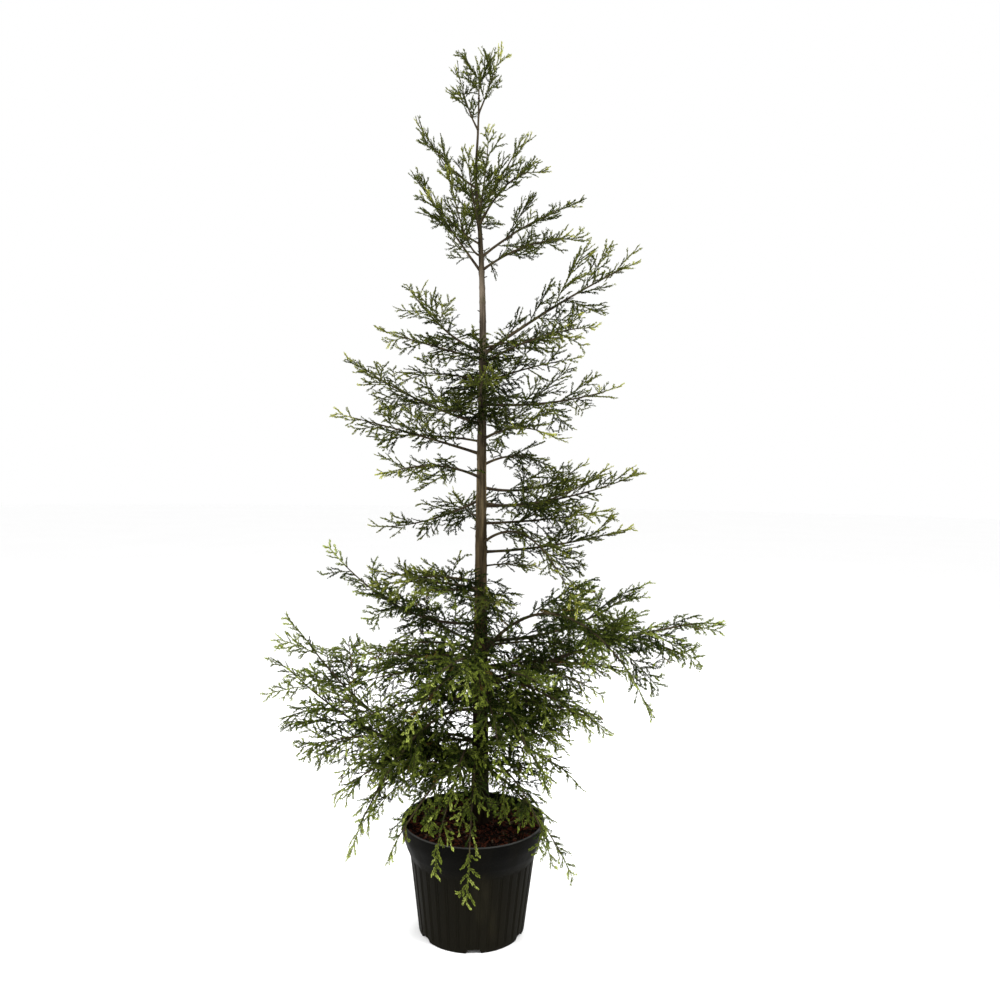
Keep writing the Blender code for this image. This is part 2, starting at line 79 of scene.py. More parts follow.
TRUNK_SUNK = 0.012  # how far the bark runs down into the mulch

# Limbs, as in the model: height on the trunk, heading, reach, rise, arch and the share that is bare, if any
Limb = namedtuple("Limb", "name height heading reach rise arch bare", defaults=(0.0,))
LIMBS = tuple(Limb(*row) for row in (
    ("upper_1", 2.254, 165, 0.247, 0.345, -0.003),
    ("upper_2", 2.261, -30, 0.366, 0.066, 0.034),
    ("upper_3", 2.306, 28, 0.367, 0.234, 0.022),
    ("upper_4", 2.54, 195, 0.207, 0.203, -0.028),
    ("upper_5", 2.45, 18, 0.165, 0.295, -0.005),
    ("upper_6", 2.737, 155, 0.084, 0.227, -0.025),
    ("upper_7", 2.79, -20, 0.08, 0.205, -0.011),
    ("upper_8", 2.37, -98, 0.27, 0.19, -0.01),
    ("upper_9", 2.4, 97, 0.28, 0.23, -0.015),
    ("middle_1", 1.976, 12, 0.576, 0.368, 0.018, 0.24),
    ("middle_2", 1.945, -38, 0.458, 0.081, 0.028),
    ("middle_3", 1.986, 128, 0.484, 0.313, -0.043, 0.24),
    ("middle_4", 1.96, 218, 0.4, 0.06, -0.003),
    ("middle_5", 1.74, 155, 0.544, 0.251, -0.026, 0.24),
    ("middle_6", 1.637, 190, 0.493, 0.128, 0.004, 0.24),
    ("middle_7", 1.555, 235, 0.498, 0.009, 0.033),
    ("middle_8", 1.809, 27, 0.58, 0.097, -0.026, 0.24),
    ("middle_9", 1.483, 168, 0.391, -0.107, -0.025),
    ("middle_10", 1.473, -22, 0.442, 0.121, -0.054, 0.24),
    ("middle_11", 1.301, 5, 0.521, 0.091, -0.018, 0.24),
    ("middle_12", 1.326, -42, 0.446, -0.178, 0.126),
    ("middle_13", 1.78, -92, 0.44, 0.09, 0.01),
    ("middle_14", 1.88, 85, 0.46, 0.14, -0.02),
    ("middle_15", 1.43, 102, 0.52, 0.06, -0.03),
    ("lower_1", 1.059, 168, 0.568, 0.248, -0.09, 0.24),
    ("lower_2", 0.885, 212, 0.47, 0.113, 0.021, 0.24),
    ("lower_3", 0.586, 158, 0.85, 0.287, -0.103, 0.27),
    ("lower_4", 0.544, 178, 0.6, 0.055, 0.079),
    ("lower_5", 0.746, 205, 0.469, -0.423, 0.154, 0.24),
    ("lower_6", 0.631, 238, 0.482, -0.231, 0.059),
    ("lower_7", 0.824, -10, 0.808, 0.278, 0.035, 0.27),
    ("lower_8", 0.945, -32, 0.648, -0.112, 0.222, 0.24),
    ("lower_9", 0.997, 32, 0.794, 0.165, -0.068, 0.27),
    ("lower_10", 0.56, -35, 0.386, -0.287, 0.06),
    ("lower_11", 0.6, -97, 0.335, -0.36, 0.17),
    ("lower_12", 0.72, 98, 0.69, 0.05, 0.02, 0.27),
    ("lower_13", 0.98, 128, 0.62, 0.12, -0.02, 0.24),
    ("lower_14", 0.61, 58, 0.65, -0.04, 0.06, 0.27),
    ("lower_15", 0.93, -100, 0.54, 0.05, 0.03),
))
LEADER = Limb("top", 2.84, 90, 0.0, 0.12, 0.0)

# Thinner limbs between them, inside the crown: part of the crown, number, then as above
INNER_LIMBS = tuple(Limb("%s_inner_%d" % (part, number), *curve) for part, number, *curve in (
    ("upper", 1, 2.311, 235, 0.192, 0.23, -0.063),
    ("upper", 2, 2.416, -50, 0.308, 0.096, 0.057),
    ("upper", 3, 2.45, 70, 0.112, 0.34, -0.03),
    ("middle", 1, 1.686, -60, 0.478, -0.003, 0.032),
    ("middle", 2, 1.597, 50, 0.445, -0.015, 0.047),
    ("middle", 3, 1.525, 48, 0.571, 0.098, -0.05),
    ("middle", 4, 1.17, -80, 0.4, 0.02, -0.02),
    ("middle", 5, 1.18, 240, 0.416, 0.06, 0.024),
    ("lower", 1, 1.163, 240, 0.415, 0.046, 0.007),
    ("lower", 2, 0.9, -60, 0.4, 0.02, 0.016),
    ("lower", 3, 0.789, 8, 0.454, -0.121, 0.07),
    ("lower", 4, 0.684, -50, 0.374, -0.099, 0.082),
    ("upper", 6, 2.35, 180, 0.19, 0.17, -0.02),
    ("middle", 6, 2.0, -15, 0.33, 0.03, 0.01),
    ("middle", 7, 1.89, 195, 0.3, 0.01, 0.01),
    ("middle", 8, 1.88, -5, 0.33, 0.09, 0.01),
    ("middle", 9, 1.68, 172, 0.34, 0.02, 0.01),
    ("middle", 11, 1.17, 168, 0.4, 0.06, 0.0),
    ("lower", 5, 0.96, 186, 0.43, -0.02, 0.04),
    ("lower", 6, 0.86, 160, 0.5, -0.05, 0.06),
    ("lower", 7, 0.78, 196, 0.45, -0.04, 0.04),
    ("lower", 8, 0.97, 2, 0.4, -0.02, 0.03),
    ("lower", 9, 0.89, -24, 0.44, -0.04, 0.05),
    ("lower", 10, 0.8, 26, 0.4, -0.06, 0.05),
    ("lower", 11, 0.7, -6, 0.32, -0.04, 0.04),
    ("lower", 12, 1.01, -96, 0.32, -0.12, 0.06),
    ("lower", 13, 0.87, -124, 0.4, -0.1, 0.07),
    ("lower", 14, 0.79, -78, 0.36, -0.13, 0.08),
    ("lower", 15, 0.9, 88, 0.42, -0.01, 0.03),
    ("lower", 16, 0.73, 124, 0.44, -0.04, 0.05),
    ("lower", 17, 0.63, -18, 0.36, -0.1, 0.05),
    ("lower", 18, 0.6, 202, 0.44, -0.15, 0.07),
    ("lower", 19, 0.57, 172, 0.38, -0.07, 0.04),
    ("lower", 20, 0.6, 161, 0.79, 0.43, -0.13, 0.55),
    ("lower", 21, 0.92, -88, 0.26, -0.08, 0.04),
    ("lower", 22, 0.86, -35, 0.42, -0.08, 0.04),
    ("lower", 23, 0.74, 12, 0.42, -0.02, 0.03),
    ("lower", 24, 0.8, -60, 0.4, -0.12, 0.05),
    ("lower", 25, 0.93, 176, 0.41, -0.05, 0.03),
    ("lower", 26, 0.88, 188, 0.46, -0.04, 0.03),
    ("lower", 27, 0.64, 186, 0.5, -0.2, 0.08),
    ("lower", 28, 0.56, -12, 0.24, -0.03, 0.03),
    ("lower", 29, 0.66, -108, 0.3, -0.12, 0.06),
    ("lower", 30, 0.78, -20, 0.46, -0.05, 0.04),
    ("lower", 31, 0.7, 20, 0.36, -0.03, 0.03),
    ("lower", 32, 0.56, 206, 0.43, -0.13, 0.07),
    ("lower", 33, 0.9, -12, 0.51, 0.01, 0.03),
    ("lower", 34, 0.85, 14, 0.52, 0.03, 0.03),
    ("lower", 35, 0.7, -16, 0.31, -0.06, 0.03),
    ("lower", 36, 0.6, 184, 0.48, -0.08, 0.05),
    ("lower", 37, 0.56, 166, 0.44, -0.06, 0.05),
    ("lower", 38, 0.83, 176, 0.34, -0.04, 0.02),
    ("lower", 39, 0.58, -112, 0.4, -0.23, 0.12),
    ("lower", 40, 0.57, -50, 0.37, -0.23, 0.1),
    ("lower", 41, 0.64, 176, 0.5, -0.13, 0.08),
    ("lower", 42, 0.6, 192, 0.5, -0.1, 0.06),
    ("middle", 18, 1.25, -20, 0.22, 0.01, 0.01),
    ("middle", 12, 1.17, 190, 0.36, 0.02, 0.02),
    ("middle", 13, 1.46, -8, 0.54, 0.12, -0.03),
    ("middle", 14, 1.4, 12, 0.48, 0.05, -0.01),
    ("middle", 16, 1.76, 215, 0.26, -0.02, 0.03),
))
LIMB_RADIUS = 0.0020
LIMB_RADIUS_GROWTH = 0.0066
LIMB_TIP_SHARE = 0.22
COLLAR = 0.45
COLLAR_SHARE = 0.035
SWEEP = 0.08
LEAST_RADIUS = 0.0013
SLOPE_STEP = 0.01
LATERAL_STEP = 0.062
LATERAL_STEP_JITTER = 0.2
LATERAL_FEWEST = 3
LATERAL_START = 0.18
LATERAL_PAST_BOUGH = 0.05
LATERAL_LENGTH = 0.35
LATERAL_LENGTH_JITTER = 0.15
LATERAL_TAPER = 0.58
LATERAL_LEAST = 0.090
LATERAL_FORWARD_DEG = 50.0
LATERAL_CLOSING_DEG = 12.0
LATERAL_JITTER_DEG = 9.0
LATERAL_LIFT_DEG = 55.0
SPRAY_ROLL_DEG = 48.0
TIP_SPRAY = 0.16
TIP_SPRAY_MOST = 0.5
TIP_SPRAY_OUT = 0.8
SPRAY_HALF_WIDTH = 0.27
SPRAY_LEAST_HALF_WIDTH = 0.025
SPRAY_DROOP = 0.10
SPRAY_SINK = 0.006

# What the limbs carry beyond the model's own sprays
LIMB_SIDES = 9
LIMB_RING_STEP = 0.010
LIMB_KNOBS = 0.07
BETWEEN_START = 0.12
BETWEEN_END = 0.70
BETWEEN_LENGTH = (0.45, 0.95)  # as shares of the rule's length at that place
OPEN_LIMBS = ("top", "middle_1", "middle_12", "lower_3", "lower_8", "lower_9")
OPEN_STEP = 2.5  # how many times as far apart an open limb's shorter sprays are
SHOOT_START = 0.24
SHOOT_LENGTH = (0.022, 0.055)
SHOOT_FORWARD_DEG = (30.0, 60.0)
SHOOT_LIFT = 1.2  # radians
SHOOT_STEP = 1.3  # in steps between branchlets
TWIG_RADIUS = 0.0007
TWIG_RADIUS_GROWTH = 0.0050
TWIG_SIDES = 4
TWIG_RINGS = 9
TWIG_START = 0.05
TWIG_SWING = 0.08
TWIG_NEEDLE = 0.75  # length, as a share of the zone's
TWIG_NEEDLE_WIDTH = 0.8
TWIG_NEEDLE_SPACING = 0.8
BRANCHLET_RADIUS = 0.0018
BRANCHLET_SIDES = 3
BRANCHLET_RINGS = 2
BRANCHLET_CLOSING_DEG = 14.0
BRANCHLET_LIFT = 0.50
BRANCHLET_LENGTH = (0.80, 1.15)
BRANCHLET_AT_TIP = 0.018  # most that a branchlet may reach past its spray's end
BRANCHLET_CURL = 0.22
BRANCHLET_FEWEST = 3
BRANCHLET_SPOT = (0.25, 0.75)
OUTLINE_FOOT = 0.5  # the spray's width at its foot, how fast it widens, and how much it narrows
OUTLINE_RISE = 1.6
OUTLINE_TAPER = 0.62
FORK_FROM = 0.050  # length from which a branchlet branches again
FORK_STEP = 0.020
FORK_START = 0.15
FORK_RUN = 0.75
FORK_SPOT = (0.2, 0.8)
FORK_SHARE = (0.45, 0.70)
FORK_TAPER = 0.6
FORK_LONGEST = FORK_FROM * 0.95
FORK_LIFT = 0.4
FORK_AGE = 0.1
FORK_FORWARD_DEG = (32.0, 46.0)
TIP_NARROW = 0.45  # radius at a strand's tip, as a share of its foot's
NEEDLE_START = 0.03
NEEDLE_RUN = 0.95
NEEDLE_WIDEST = 0.42
NEEDLE_FOLD = 0.30
NEEDLE_LENGTH_SPREAD = 0.18
NEEDLE_JITTER_DEG = 9.0
NEEDLE_TWIST = 0.55
TWIG_NEEDLE_SPREAD_DEG = 17.0
NEEDLE_SPREAD_JITTER = (0.8, 1.2)
NEEDLE_OPEN = 1.15  # spread at a strand's foot, and inside the crown
NEEDLE_CLOSING_TO_TIP = 0.45
NEEDLE_AT_FOOT = (0.55, 2.2)  # share of the full length there, and how fast it grows from there
NEEDLE_AT_TIP = (0.60, 1.5)
NEEDLE_ROOT = 0.7  # in its strand's radii
NEEDLE_CLOSING = 0.30  # how much closer needles lie at the outer ends of the crown
GOLDEN_ANGLE_DEG = 137.5
PIECE_TRIANGLES = 190_000
KEEP_OFF = 0.004  # least way from foliage to trunk, pot, soil and floor

# Each part of the crown: how far its inner and its outer twigs turn up, how far the sprays between the
# model's own are set under the limb, the branchlets' angle, the needles' length, width and spread, the steps
# between sprays, branchlets and needles, how red the needles are, and the ages that part the four tints
Zone = namedtuple(
    "Zone", "name upturn_in upturn_out drop forward needle width spread between step spacing red tints"
)
ZONES = tuple(Zone(*row) for row in (
    ("upper", 0.15, 0.22, -10, (24, 40), 0.008, 0.0036, 17, 0.042, 0.0155, 0.0042, 1.0, (0.18, 0.74, 0.98)),
    ("middle", -0.05, 0.20, 8, (32, 50), 0.0088, 0.0041, 18, 0.036, 0.016, 0.0044, 1.0, (0.36, 0.68, 0.94)),
    ("lower", -0.25, 0.12, 28, (38, 56), 0.0096, 0.0045, 19, 0.034, 0.016, 0.0046, 0.88, (0.40, 0.61, 0.88)),
))
# Needles nearer the trunk get the darker tints, and the lower crown more of them; the darkest tint, shade, is
# partly painted shade.
TINTS = ("shade", "mature", "fresh", "young")
AGE_ALONG_LIMB = 0.62
AGE_ALONG_SPRAY = 0.45
SPRAY_AGE_SPREAD = 0.20
AGE_SPREAD = 0.16
RUST_SHARE = 0.010

# Short shoots straight from the trunk, where the crown is darkest: lowest and highest place, and their count
CORE_SHOOTS = {"lower": (0.56, 1.20, 120), "middle": (1.74, 1.99, 80), "upper": (2.30, 2.60, 4)}
CORE_SHOOT_LENGTH = (0.05, 0.14)
CORE_SHOOT_RADIUS = 0.0016
CORE_SHOOT_ROOT = 0.9  # in the trunk's radii
CORE_SHOOT_RISE = (-0.5, 0.6)
CORE_SHOOT_ROLL = 0.8

# Pot, as in the model: radius and height of places on its outer wall
POT_FOOT = (0.1826, 0.004)
POT_BODY_SHOULDER = (0.2109, 0.230)
POT_BODY_TOP = (0.2155, 0.262)
POT_STEP = (0.2245, 0.284)
POT_COLLAR_FOOT = (0.2275, 0.290)
POT_COLLAR_TOP = (0.2440, 0.338)
POT_RIM = (0.2475, 0.372)
POT_HEIGHT = 0.378
POT_LIP = 0.010
POT_LIP_ROUND = 0.003
POT_FOOT_ROUND = 0.004
POT_FLOOR = 0.018  # over the notches, hidden under the mulch
POT_WALL = 0.003
POT_STEP_WALL = 0.004
DRAIN_COUNT = 6
DRAIN_WIDTH = 0.050
DRAIN_TOP_SHARE = 0.8
DRAIN_HEIGHT = 0.014
DRAIN_DEPTH = 0.024  # deeper than in the model, so that the ground shows in them
DRAIN_FIRST_DEG = -86.0
DRAIN_ROUNDING = 1.6
PANELS = 36  # flat panels round the body, with a narrow groove and a rib between each two
PANEL_SHARE = 0.62
PANEL_GROOVE = 0.0020
GROOVE_STEEPNESS = 2.5
RIB_SHARE = 0.75
RIB_NARROWNESS = 7
PANEL_LOW = 0.012
PANEL_HIGH = 0.262
PANEL_END = 0.008  # over which a groove runs out at its ends
POT_SIDES = PANELS * 16

# Soil, as in the model: bark mulch that falls a little towards the wall
SOIL_TOP = 0.3697
SOIL_LEVEL_RADIUS = 0.075
SOIL_SLOPE = (0.165, 0.364)
SOIL_EDGE = 0.355
SOIL_RADIUS = 0.2355
MULCH_RINGS = 40
MULCH_SIDES = 160
MULCH_ROUGHNESS = ((1, 40, 14, 0.0022), (2, 90, 30, 0.0014))  # seed, cells round and outwards, and height
MULCH_UNDER_CHIPS = 0.0015
MULCH_SKIRT = 0.93
CHIPS = 2200
CHIP_LENGTH = (0.007, 0.024)
CHIP_WIDTH = (0.003, 0.009)
CHIP_THICKNESS = (0.0012, 0.0035)
CHIP_TILT = (0.28, 0.35)
# Chip colours are darkened throughout with painted shade from the crown and the pot's rim.
CHIP_LOOKS = (
    ("red", 0.40, (0.006, 0.0020, 0.0010), (0.070, 0.020, 0.010)),
    ("brown", 0.54, (0.0020, 0.0012, 0.0008), (0.012, 0.006, 0.004)),
    ("pale", 0.06, (0.024, 0.015, 0.010), (0.075, 0.050, 0.031)),
)
MOSS_TUFTS = 130
MOSS_BLADES = 26
MOSS_TURN = (-0.9, 2.4)
MOSS_AWAY = (0.13, 0.228)
MOSS_REACH = 0.0055
MOSS_BLADE_LENGTH = (0.003, 0.0075)
MOSS_BLADE_HALF_WIDTH = 0.0008

# Bark: fissures as a seed, cells round and along, and depth at the foot, then scars and dead stubs
FISSURES = (
    (11, 17, 46, 0.0011),
    (12, 34, 90, 0.0008),
    (13, 60, 240, 0.00035),
)
FISSURE_WANDER = 0.035
FISSURE_FULL_RADIUS = 0.026
FISSURE_FADING = 1.6
SCAR_HEIGHTS = (1.02, 1.355, 1.62, 1.70, 2.09, 2.155, 2.205, 2.255)
SCAR_SWELL = 0.0011
SCAR_HALF_HEIGHT = 0.004
LIMB_SWELL = 0.22  # of the bark under a limb, in the limb's radii
LIMB_SWELL_HALF_HEIGHT = 0.012
STUBS = ((1.372, 178, 0.016), (2.236, -4, 0.007), (1.66, -60, 0.010), (1.12, -110, 0.012), (2.12, 200, 0.006))

# Needles: darkest and lightest base colour, and roughness. The shade tint is near black, partly the dark
# older needles inside the crown and partly painted shade.
NEEDLE_LOOKS = {
    "shade": ((0.004, 0.008, 0.001), (0.017, 0.027, 0.003), 0.70),
    "mature": ((0.017, 0.024, 0.003), (0.072, 0.088, 0.010), 0.64),
    "fresh": ((0.066, 0.080, 0.010), (0.165, 0.180, 0.025), 0.60),
    "young": ((0.185, 0.200, 0.030), (0.380, 0.390, 0.090), 0.55),
    "rust": ((0.050, 0.024, 0.006), (0.150, 0.080, 0.020), 0.65),
}

# Area lights: name, place, what they point at, size and power
LIGHTS = (
    ("key", (2.6, -2.2, 4.4), (0, 0, 1.4), 1.4, 200),
    ("fill", (-3.0, -2.2, 3.6), (0, 0, 1.3), 1.6, 150),
    ("back", (0.6, 3.4, 4.2), (0, 0, 1.4), 1.8, 90),
)
FLOOR_RADIUS = 40.0
FLOOR_SIDES = 96


def eased(rows, at):
    """The values of a table at the given heights, on smooth curves through its rows."""
    table = np.array(rows)
    at = np.asarray(at, float)
    places = table[:, 0]
    last = len(rows) - 1
    low = np.clip(np.searchsorted(places, at, side="right") - 1, 0, last - 1)
    before = np.maximum(np.arange(last + 1) - 1, 0)
    after = np.minimum(np.arange(last + 1) + 1, last)
    slopes = (table[after, 1:] - table[before, 1:]) / (places[after] - places[before])[:, None]
    span = (places[low + 1] - places[low])[..., None]
    share = (at - places[low])[..., None] / span
    start, end = table[low, 1:], table[low + 1, 1:]
    first, second = slopes[low] * span, slopes[low + 1] * span
    return (
        start
        + first * share
        + (3 * (end - start) - 2 * first - second) * share**2
        + (2 * (start - end) + first + second) * share**3
    )


def unit(vectors):
    return vectors / np.maximum(np.linalg.norm(vectors, axis=-1, keepdims=True), 1e-12)


def circle(sides):
    """Even angles once round."""
    return 2 * math.pi * np.arange(sides) / sides


def trunk_at(height):
    """The place of the trunk's centre and its radius, at one height or at many."""
    return eased(TRUNK_STATIONS, np.maximum(height, TRUNK_FOOT))


def lattice_noise(seed, across, along, cells_round, cells_along):
    """Smooth noise from -1 to 1 that closes on itself as across runs from 0 to 1. along is from 0 to 1."""
    values = np.random.default_rng(seed).uniform(-1, 1, (cells_round, cells_along + 2))
    x = (across % 1.0) * cells_round
    y = np.clip(along, 0, 1) * cells_along
    column, row = np.floor(x).astype(int) % cells_round, np.floor(y).astype(int)
    ease_x, ease_y = x - np.floor(x), y - np.floor(y)
    ease_x, ease_y = ease_x**2 * (3 - 2 * ease_x), ease_y**2 * (3 - 2 * ease_y)
    beside = (column + 1) % cells_round
    low = values[column, row] * (1 - ease_x) + values[beside, row] * ease_x
    high = values[column, row + 1] * (1 - ease_x) + values[beside, row + 1] * ease_x
    return low * (1 - ease_y) + high * ease_y


def grid_faces(rings, sides):
    """Triangles of a grid of points, numbered ring by ring, that closes on itself round each ring."""
    ring, side = np.meshgrid(np.arange(rings - 1), np.arange(sides), indexing="ij")
    low, low_after = ring * sides + side, ring * sides + (side + 1) % sides
    high, high_after = low + sides, low_after + sides
    return np.stack((low, low_after, high_after, low, high_after, high), axis=-1).reshape(-1, 3)


def fan_faces(first, sides, middle):
    """Triangles from a ring of points to one point past it."""
    side = np.arange(sides)
    return np.stack((first + side, first + (side + 1) % sides, np.full(sides, middle)), axis=1)


def add_object(name, data):
    item = bpy.data.objects.new(name, data)
    bpy.context.scene.collection.objects.link(item)
    return item


def make_piece(name, points, faces, material, smooth=True):
    mesh = bpy.data.meshes.new(name)
    mesh.vertices.add(len(points))
    mesh.vertices.foreach_set("co", np.asarray(points, np.float32).ravel())
    mesh.loops.add(faces.size)
    mesh.loops.foreach_set("vertex_index", faces.astype(np.int32).ravel())
    mesh.polygons.add(len(faces))
    mesh.polygons.foreach_set("loop_start", np.arange(0, faces.size, 3, dtype=np.int32))
    mesh.polygons.foreach_set("use_smooth", np.full(len(faces), smooth))
    mesh.update(calc_edges=True)
    mesh.materials.append(material)
    piece = add_object(name, mesh)
    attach(piece, "root")
    return piece


class Gathered:
    """Points and triangles of many small forms that make one piece."""

    def __init__(self):
        self.points = []
        self.faces = []
        self.count = 0

    def add(self, points, faces):
        self.points.append(points)
        self.faces.append(faces + self.count)
        self.count += len(points)

    def make(self, name, material, smooth=True):
        points, faces = np.concatenate(self.points), np.concatenate(self.faces)
        return make_piece(name, points, faces, material, smooth)


# Materials


def new_material(name, roughness, specular):
    material = bpy.data.materials.new(name)
    material.use_nodes = True
    shader = material.node_tree.nodes["Principled BSDF"]
    shader.inputs["Roughness"].default_value = roughness
    shader.inputs["Specular IOR Level"].default_value = specular
    return material, material.node_tree, shader


def noise(tree, scale, detail, stretch=(1.0, 1.0, 1.0)):
    """The strength of a noise over the piece's own space, which may be stretched along an axis."""
    place = tree.nodes.new("ShaderNodeTexCoord")
    mapping = tree.nodes.new("ShaderNodeMapping")
    mapping.inputs["Scale"].default_value = stretch
    texture = tree.nodes.new("ShaderNodeTexNoise")
    texture.inputs["Scale"].default_value = scale
    texture.inputs["Detail"].default_value = detail
    tree.links.new(place.outputs["Object"], mapping.inputs["Vector"])
    tree.links.new(mapping.outputs["Vector"], texture.inputs["Vector"])
    return texture.outputs["Fac"]


def height_in(tree):
    """The height in the piece's own space."""
    place = tree.nodes.new("ShaderNodeTexCoord")
    split = tree.nodes.new("ShaderNodeSeparateXYZ")
    tree.links.new(place.outputs["Object"], split.inputs["Vector"])
    return split.outputs["Z"]


def ramp(tree, factor, *stops):
    """Colours or greys at places along a factor."""
    node = tree.nodes.new("ShaderNodeValToRGB")
    elements = node.color_ramp.elements
    for _ in stops[2:]:
        elements.new(0.5)
    for element, (place, colour) in zip(elements, stops):
        element.position = place
        element.color = (*colour, 1.0) if isinstance(colour, tuple) else (colour, colour, colour, 1.0)
    tree.links.new(factor, node.inputs["Fac"])
    return node.outputs["Color"]


def mix(tree, factor, first, second, blend="MIX"):
    node = tree.nodes.new("ShaderNodeMixRGB")
    node.blend_type = blend
    for value, socket in zip((factor, first, second), node.inputs):
        if isinstance(value, bpy.types.NodeSocket):
            tree.links.new(value, socket)
        else:
            socket.default_value = (*value, 1.0) if isinstance(value, tuple) else value
    return node.outputs["Color"]


def paint(tree, shader, colour):
    tree.links.new(colour, shader.inputs["Base Color"])


def add_bump(tree, shader, height, distance):
    node = tree.nodes.new("ShaderNodeBump")
    node.inputs["Distance"].default_value = distance
    tree.links.new(height, node.inputs["Height"])
    tree.links.new(node.outputs["Normal"], shader.inputs["Normal"])


def needle_material(name, dark, light, roughness):
    """Needles that differ from one to the next, and in patches from twig to twig."""
    material, tree, shader = new_material(name, roughness, 0.03)
    island = tree.nodes.new("ShaderNodeNewGeometry").outputs["Random Per Island"]
    patches = noise(tree, 16.0, 3.0)
    colour = ramp(tree, mix(tree, 0.5, island, patches), (0.22, dark), (0.78, light))
    paint(tree, shader, colour)
    shine = ramp(tree, patches, (0.3, roughness - 0.1), (0.7, roughness + 0.12))
    tree.links.new(shine, shader.inputs["Roughness"])
    return material


def bark_material():
    """Red-brown and darkened with painted shade at the foot, mottled in the middle, smooth grey-brown above,
    and dark on the leader.
    """
    material, tree, shader = new_material("bark", 0.9, 0.04)
    height = tree.nodes.new("ShaderNodeMapRange")
    height.inputs["From Min"].default_value = 0.4
    height.inputs["From Max"].default_value = 2.5
    tree.links.new(height_in(tree), height.inputs["Value"])
    tall = height.outputs["Result"]
    # The lowest stops, up to about a metre, are darkened with painted shade from the crown.
    dark_tones = (
        (0.12, (0.003, 0.002, 0.001)),
        (0.32, (0.012, 0.008, 0.005)),
        (0.50, (0.022, 0.016, 0.008)),
        (0.85, (0.032, 0.025, 0.018)),
        (0.90, (0.010, 0.008, 0.005)),
    )
    light_tones = (
        (0.12, (0.015, 0.009, 0.005)),
        (0.32, (0.066, 0.043, 0.023)),
        (0.50, (0.105, 0.078, 0.042)),
        (0.85, (0.160, 0.128, 0.094)),
        (0.90, (0.046, 0.036, 0.022)),
    )
    dark, light = ramp(tree, tall, *dark_tones), ramp(tree, tall, *light_tones)
    strips = ramp(tree, noise(tree, 60.0, 5.0, (1.0, 1.0, 0.09)), (0.38, 0.0), (0.62, 1.0))
    colour = mix(tree, strips, dark, light)
    lichen = ramp(tree, noise(tree, 22.0, 4.0, (1.0, 1.0, 0.5)), (0.58, 0.0), (0.70, 0.55))
    colour = mix(tree, lichen, colour, (0.036, 0.037, 0.014))
    paint(tree, shader, colour)
    add_bump(tree, shader, noise(tree, 160.0, 3.0, (1.0, 1.0, 0.12)), 0.0012)
    return material


def limb_material():
    """Smooth young bark, brown with olive green patches."""
    material, tree, shader = new_material("limb_bark", 0.8, 0.1)
    patches = noise(tree, 30.0, 4.0)
    tones = ((0.32, (0.016, 0.011, 0.006)), (0.52, (0.038, 0.027, 0.014)), (0.70, (0.058, 0.050, 0.021)))
    rings = noise(tree, 240.0, 2.0)
    shade = ramp(tree, rings, (0.35, 0.3), (0.65, 1.0))
    colour = mix(tree, 0.35, ramp(tree, patches, *tones), shade, "MULTIPLY")
    paint(tree, shader, colour)
    add_bump(tree, shader, rings, 0.0006)
    return material


def twig_material():
    """Green-brown shoots, fresher in patches."""
    material, tree, shader = new_material("twig_bark", 0.7, 0.1)
    tones = ((0.30, (0.018, 0.014, 0.005)), (0.50, (0.028, 0.028, 0.008)), (0.70, (0.050, 0.056, 0.013)))
    paint(tree, shader, ramp(tree, noise(tree, 20.0, 3.0), *tones))
    add_bump(tree, shader, noise(tree, 300.0, 2.0), 0.0004)
    return material


def pot_material():
    """Matte black plastic with a painted highlight along the lip's edge, under olive-brown dust in upright
    streaks.
    """
    material, tree, shader = new_material("pot_plastic", 0.5, 0.02)
    streaks = noise(tree, 14.0, 5.0, (1.0, 1.0, 0.25))
    tones = (
        (0.36, (0.0012, 0.0012, 0.0010)),
        (0.60, (0.0030, 0.0028, 0.0020)),
        (0.80, (0.012, 0.0105, 0.0062)),
    )
    specks = ramp(tree, noise(tree, 420.0, 2.0), (0.66, 0.0), (0.74, 0.35))
    colour = mix(tree, specks, ramp(tree, streaks, *tones), (0.034, 0.029, 0.019))
    height = height_in(tree)
    dust = ramp(tree, height, (0.05, 0.30), (0.25, 0.20), (0.29, 0.0))
    colour = mix(tree, dust, colour, (0.016, 0.014, 0.008))
    # A thin band at the top of the lip is lightened to grey as a painted highlight.
    painted_lip_highlight = ramp(tree, height, (0.3762, 0.0), (0.3776, 0.45))
    colour = mix(tree, painted_lip_highlight, colour, (0.120, 0.120, 0.115))
    paint(tree, shader, colour)
    tree.links.new(ramp(tree, streaks, (0.35, 0.42), (0.75, 0.75)), shader.inputs["Roughness"])
    add_bump(tree, shader, noise(tree, 700.0, 3.0), 0.0003)
    return material


def mulch_material(name, dark, light):
    material, tree, shader = new_material(name, 0.9, 0.03)
    paint(tree, shader, ramp(tree, noise(tree, 90.0, 5.0), (0.32, dark), (0.68, light)))
    add_bump(tree, shader, noise(tree, 400.0, 4.0), 0.0010)
    return material


def floor_material():
    material, tree, shader = new_material("studio_floor", 0.9, 0.1)
    paint(tree, shader, ramp(tree, noise(tree, 0.6, 2.0), (0.3, 0.980), (0.7, 0.990)))
    return material


# Limbs and sprays, by the model's rule


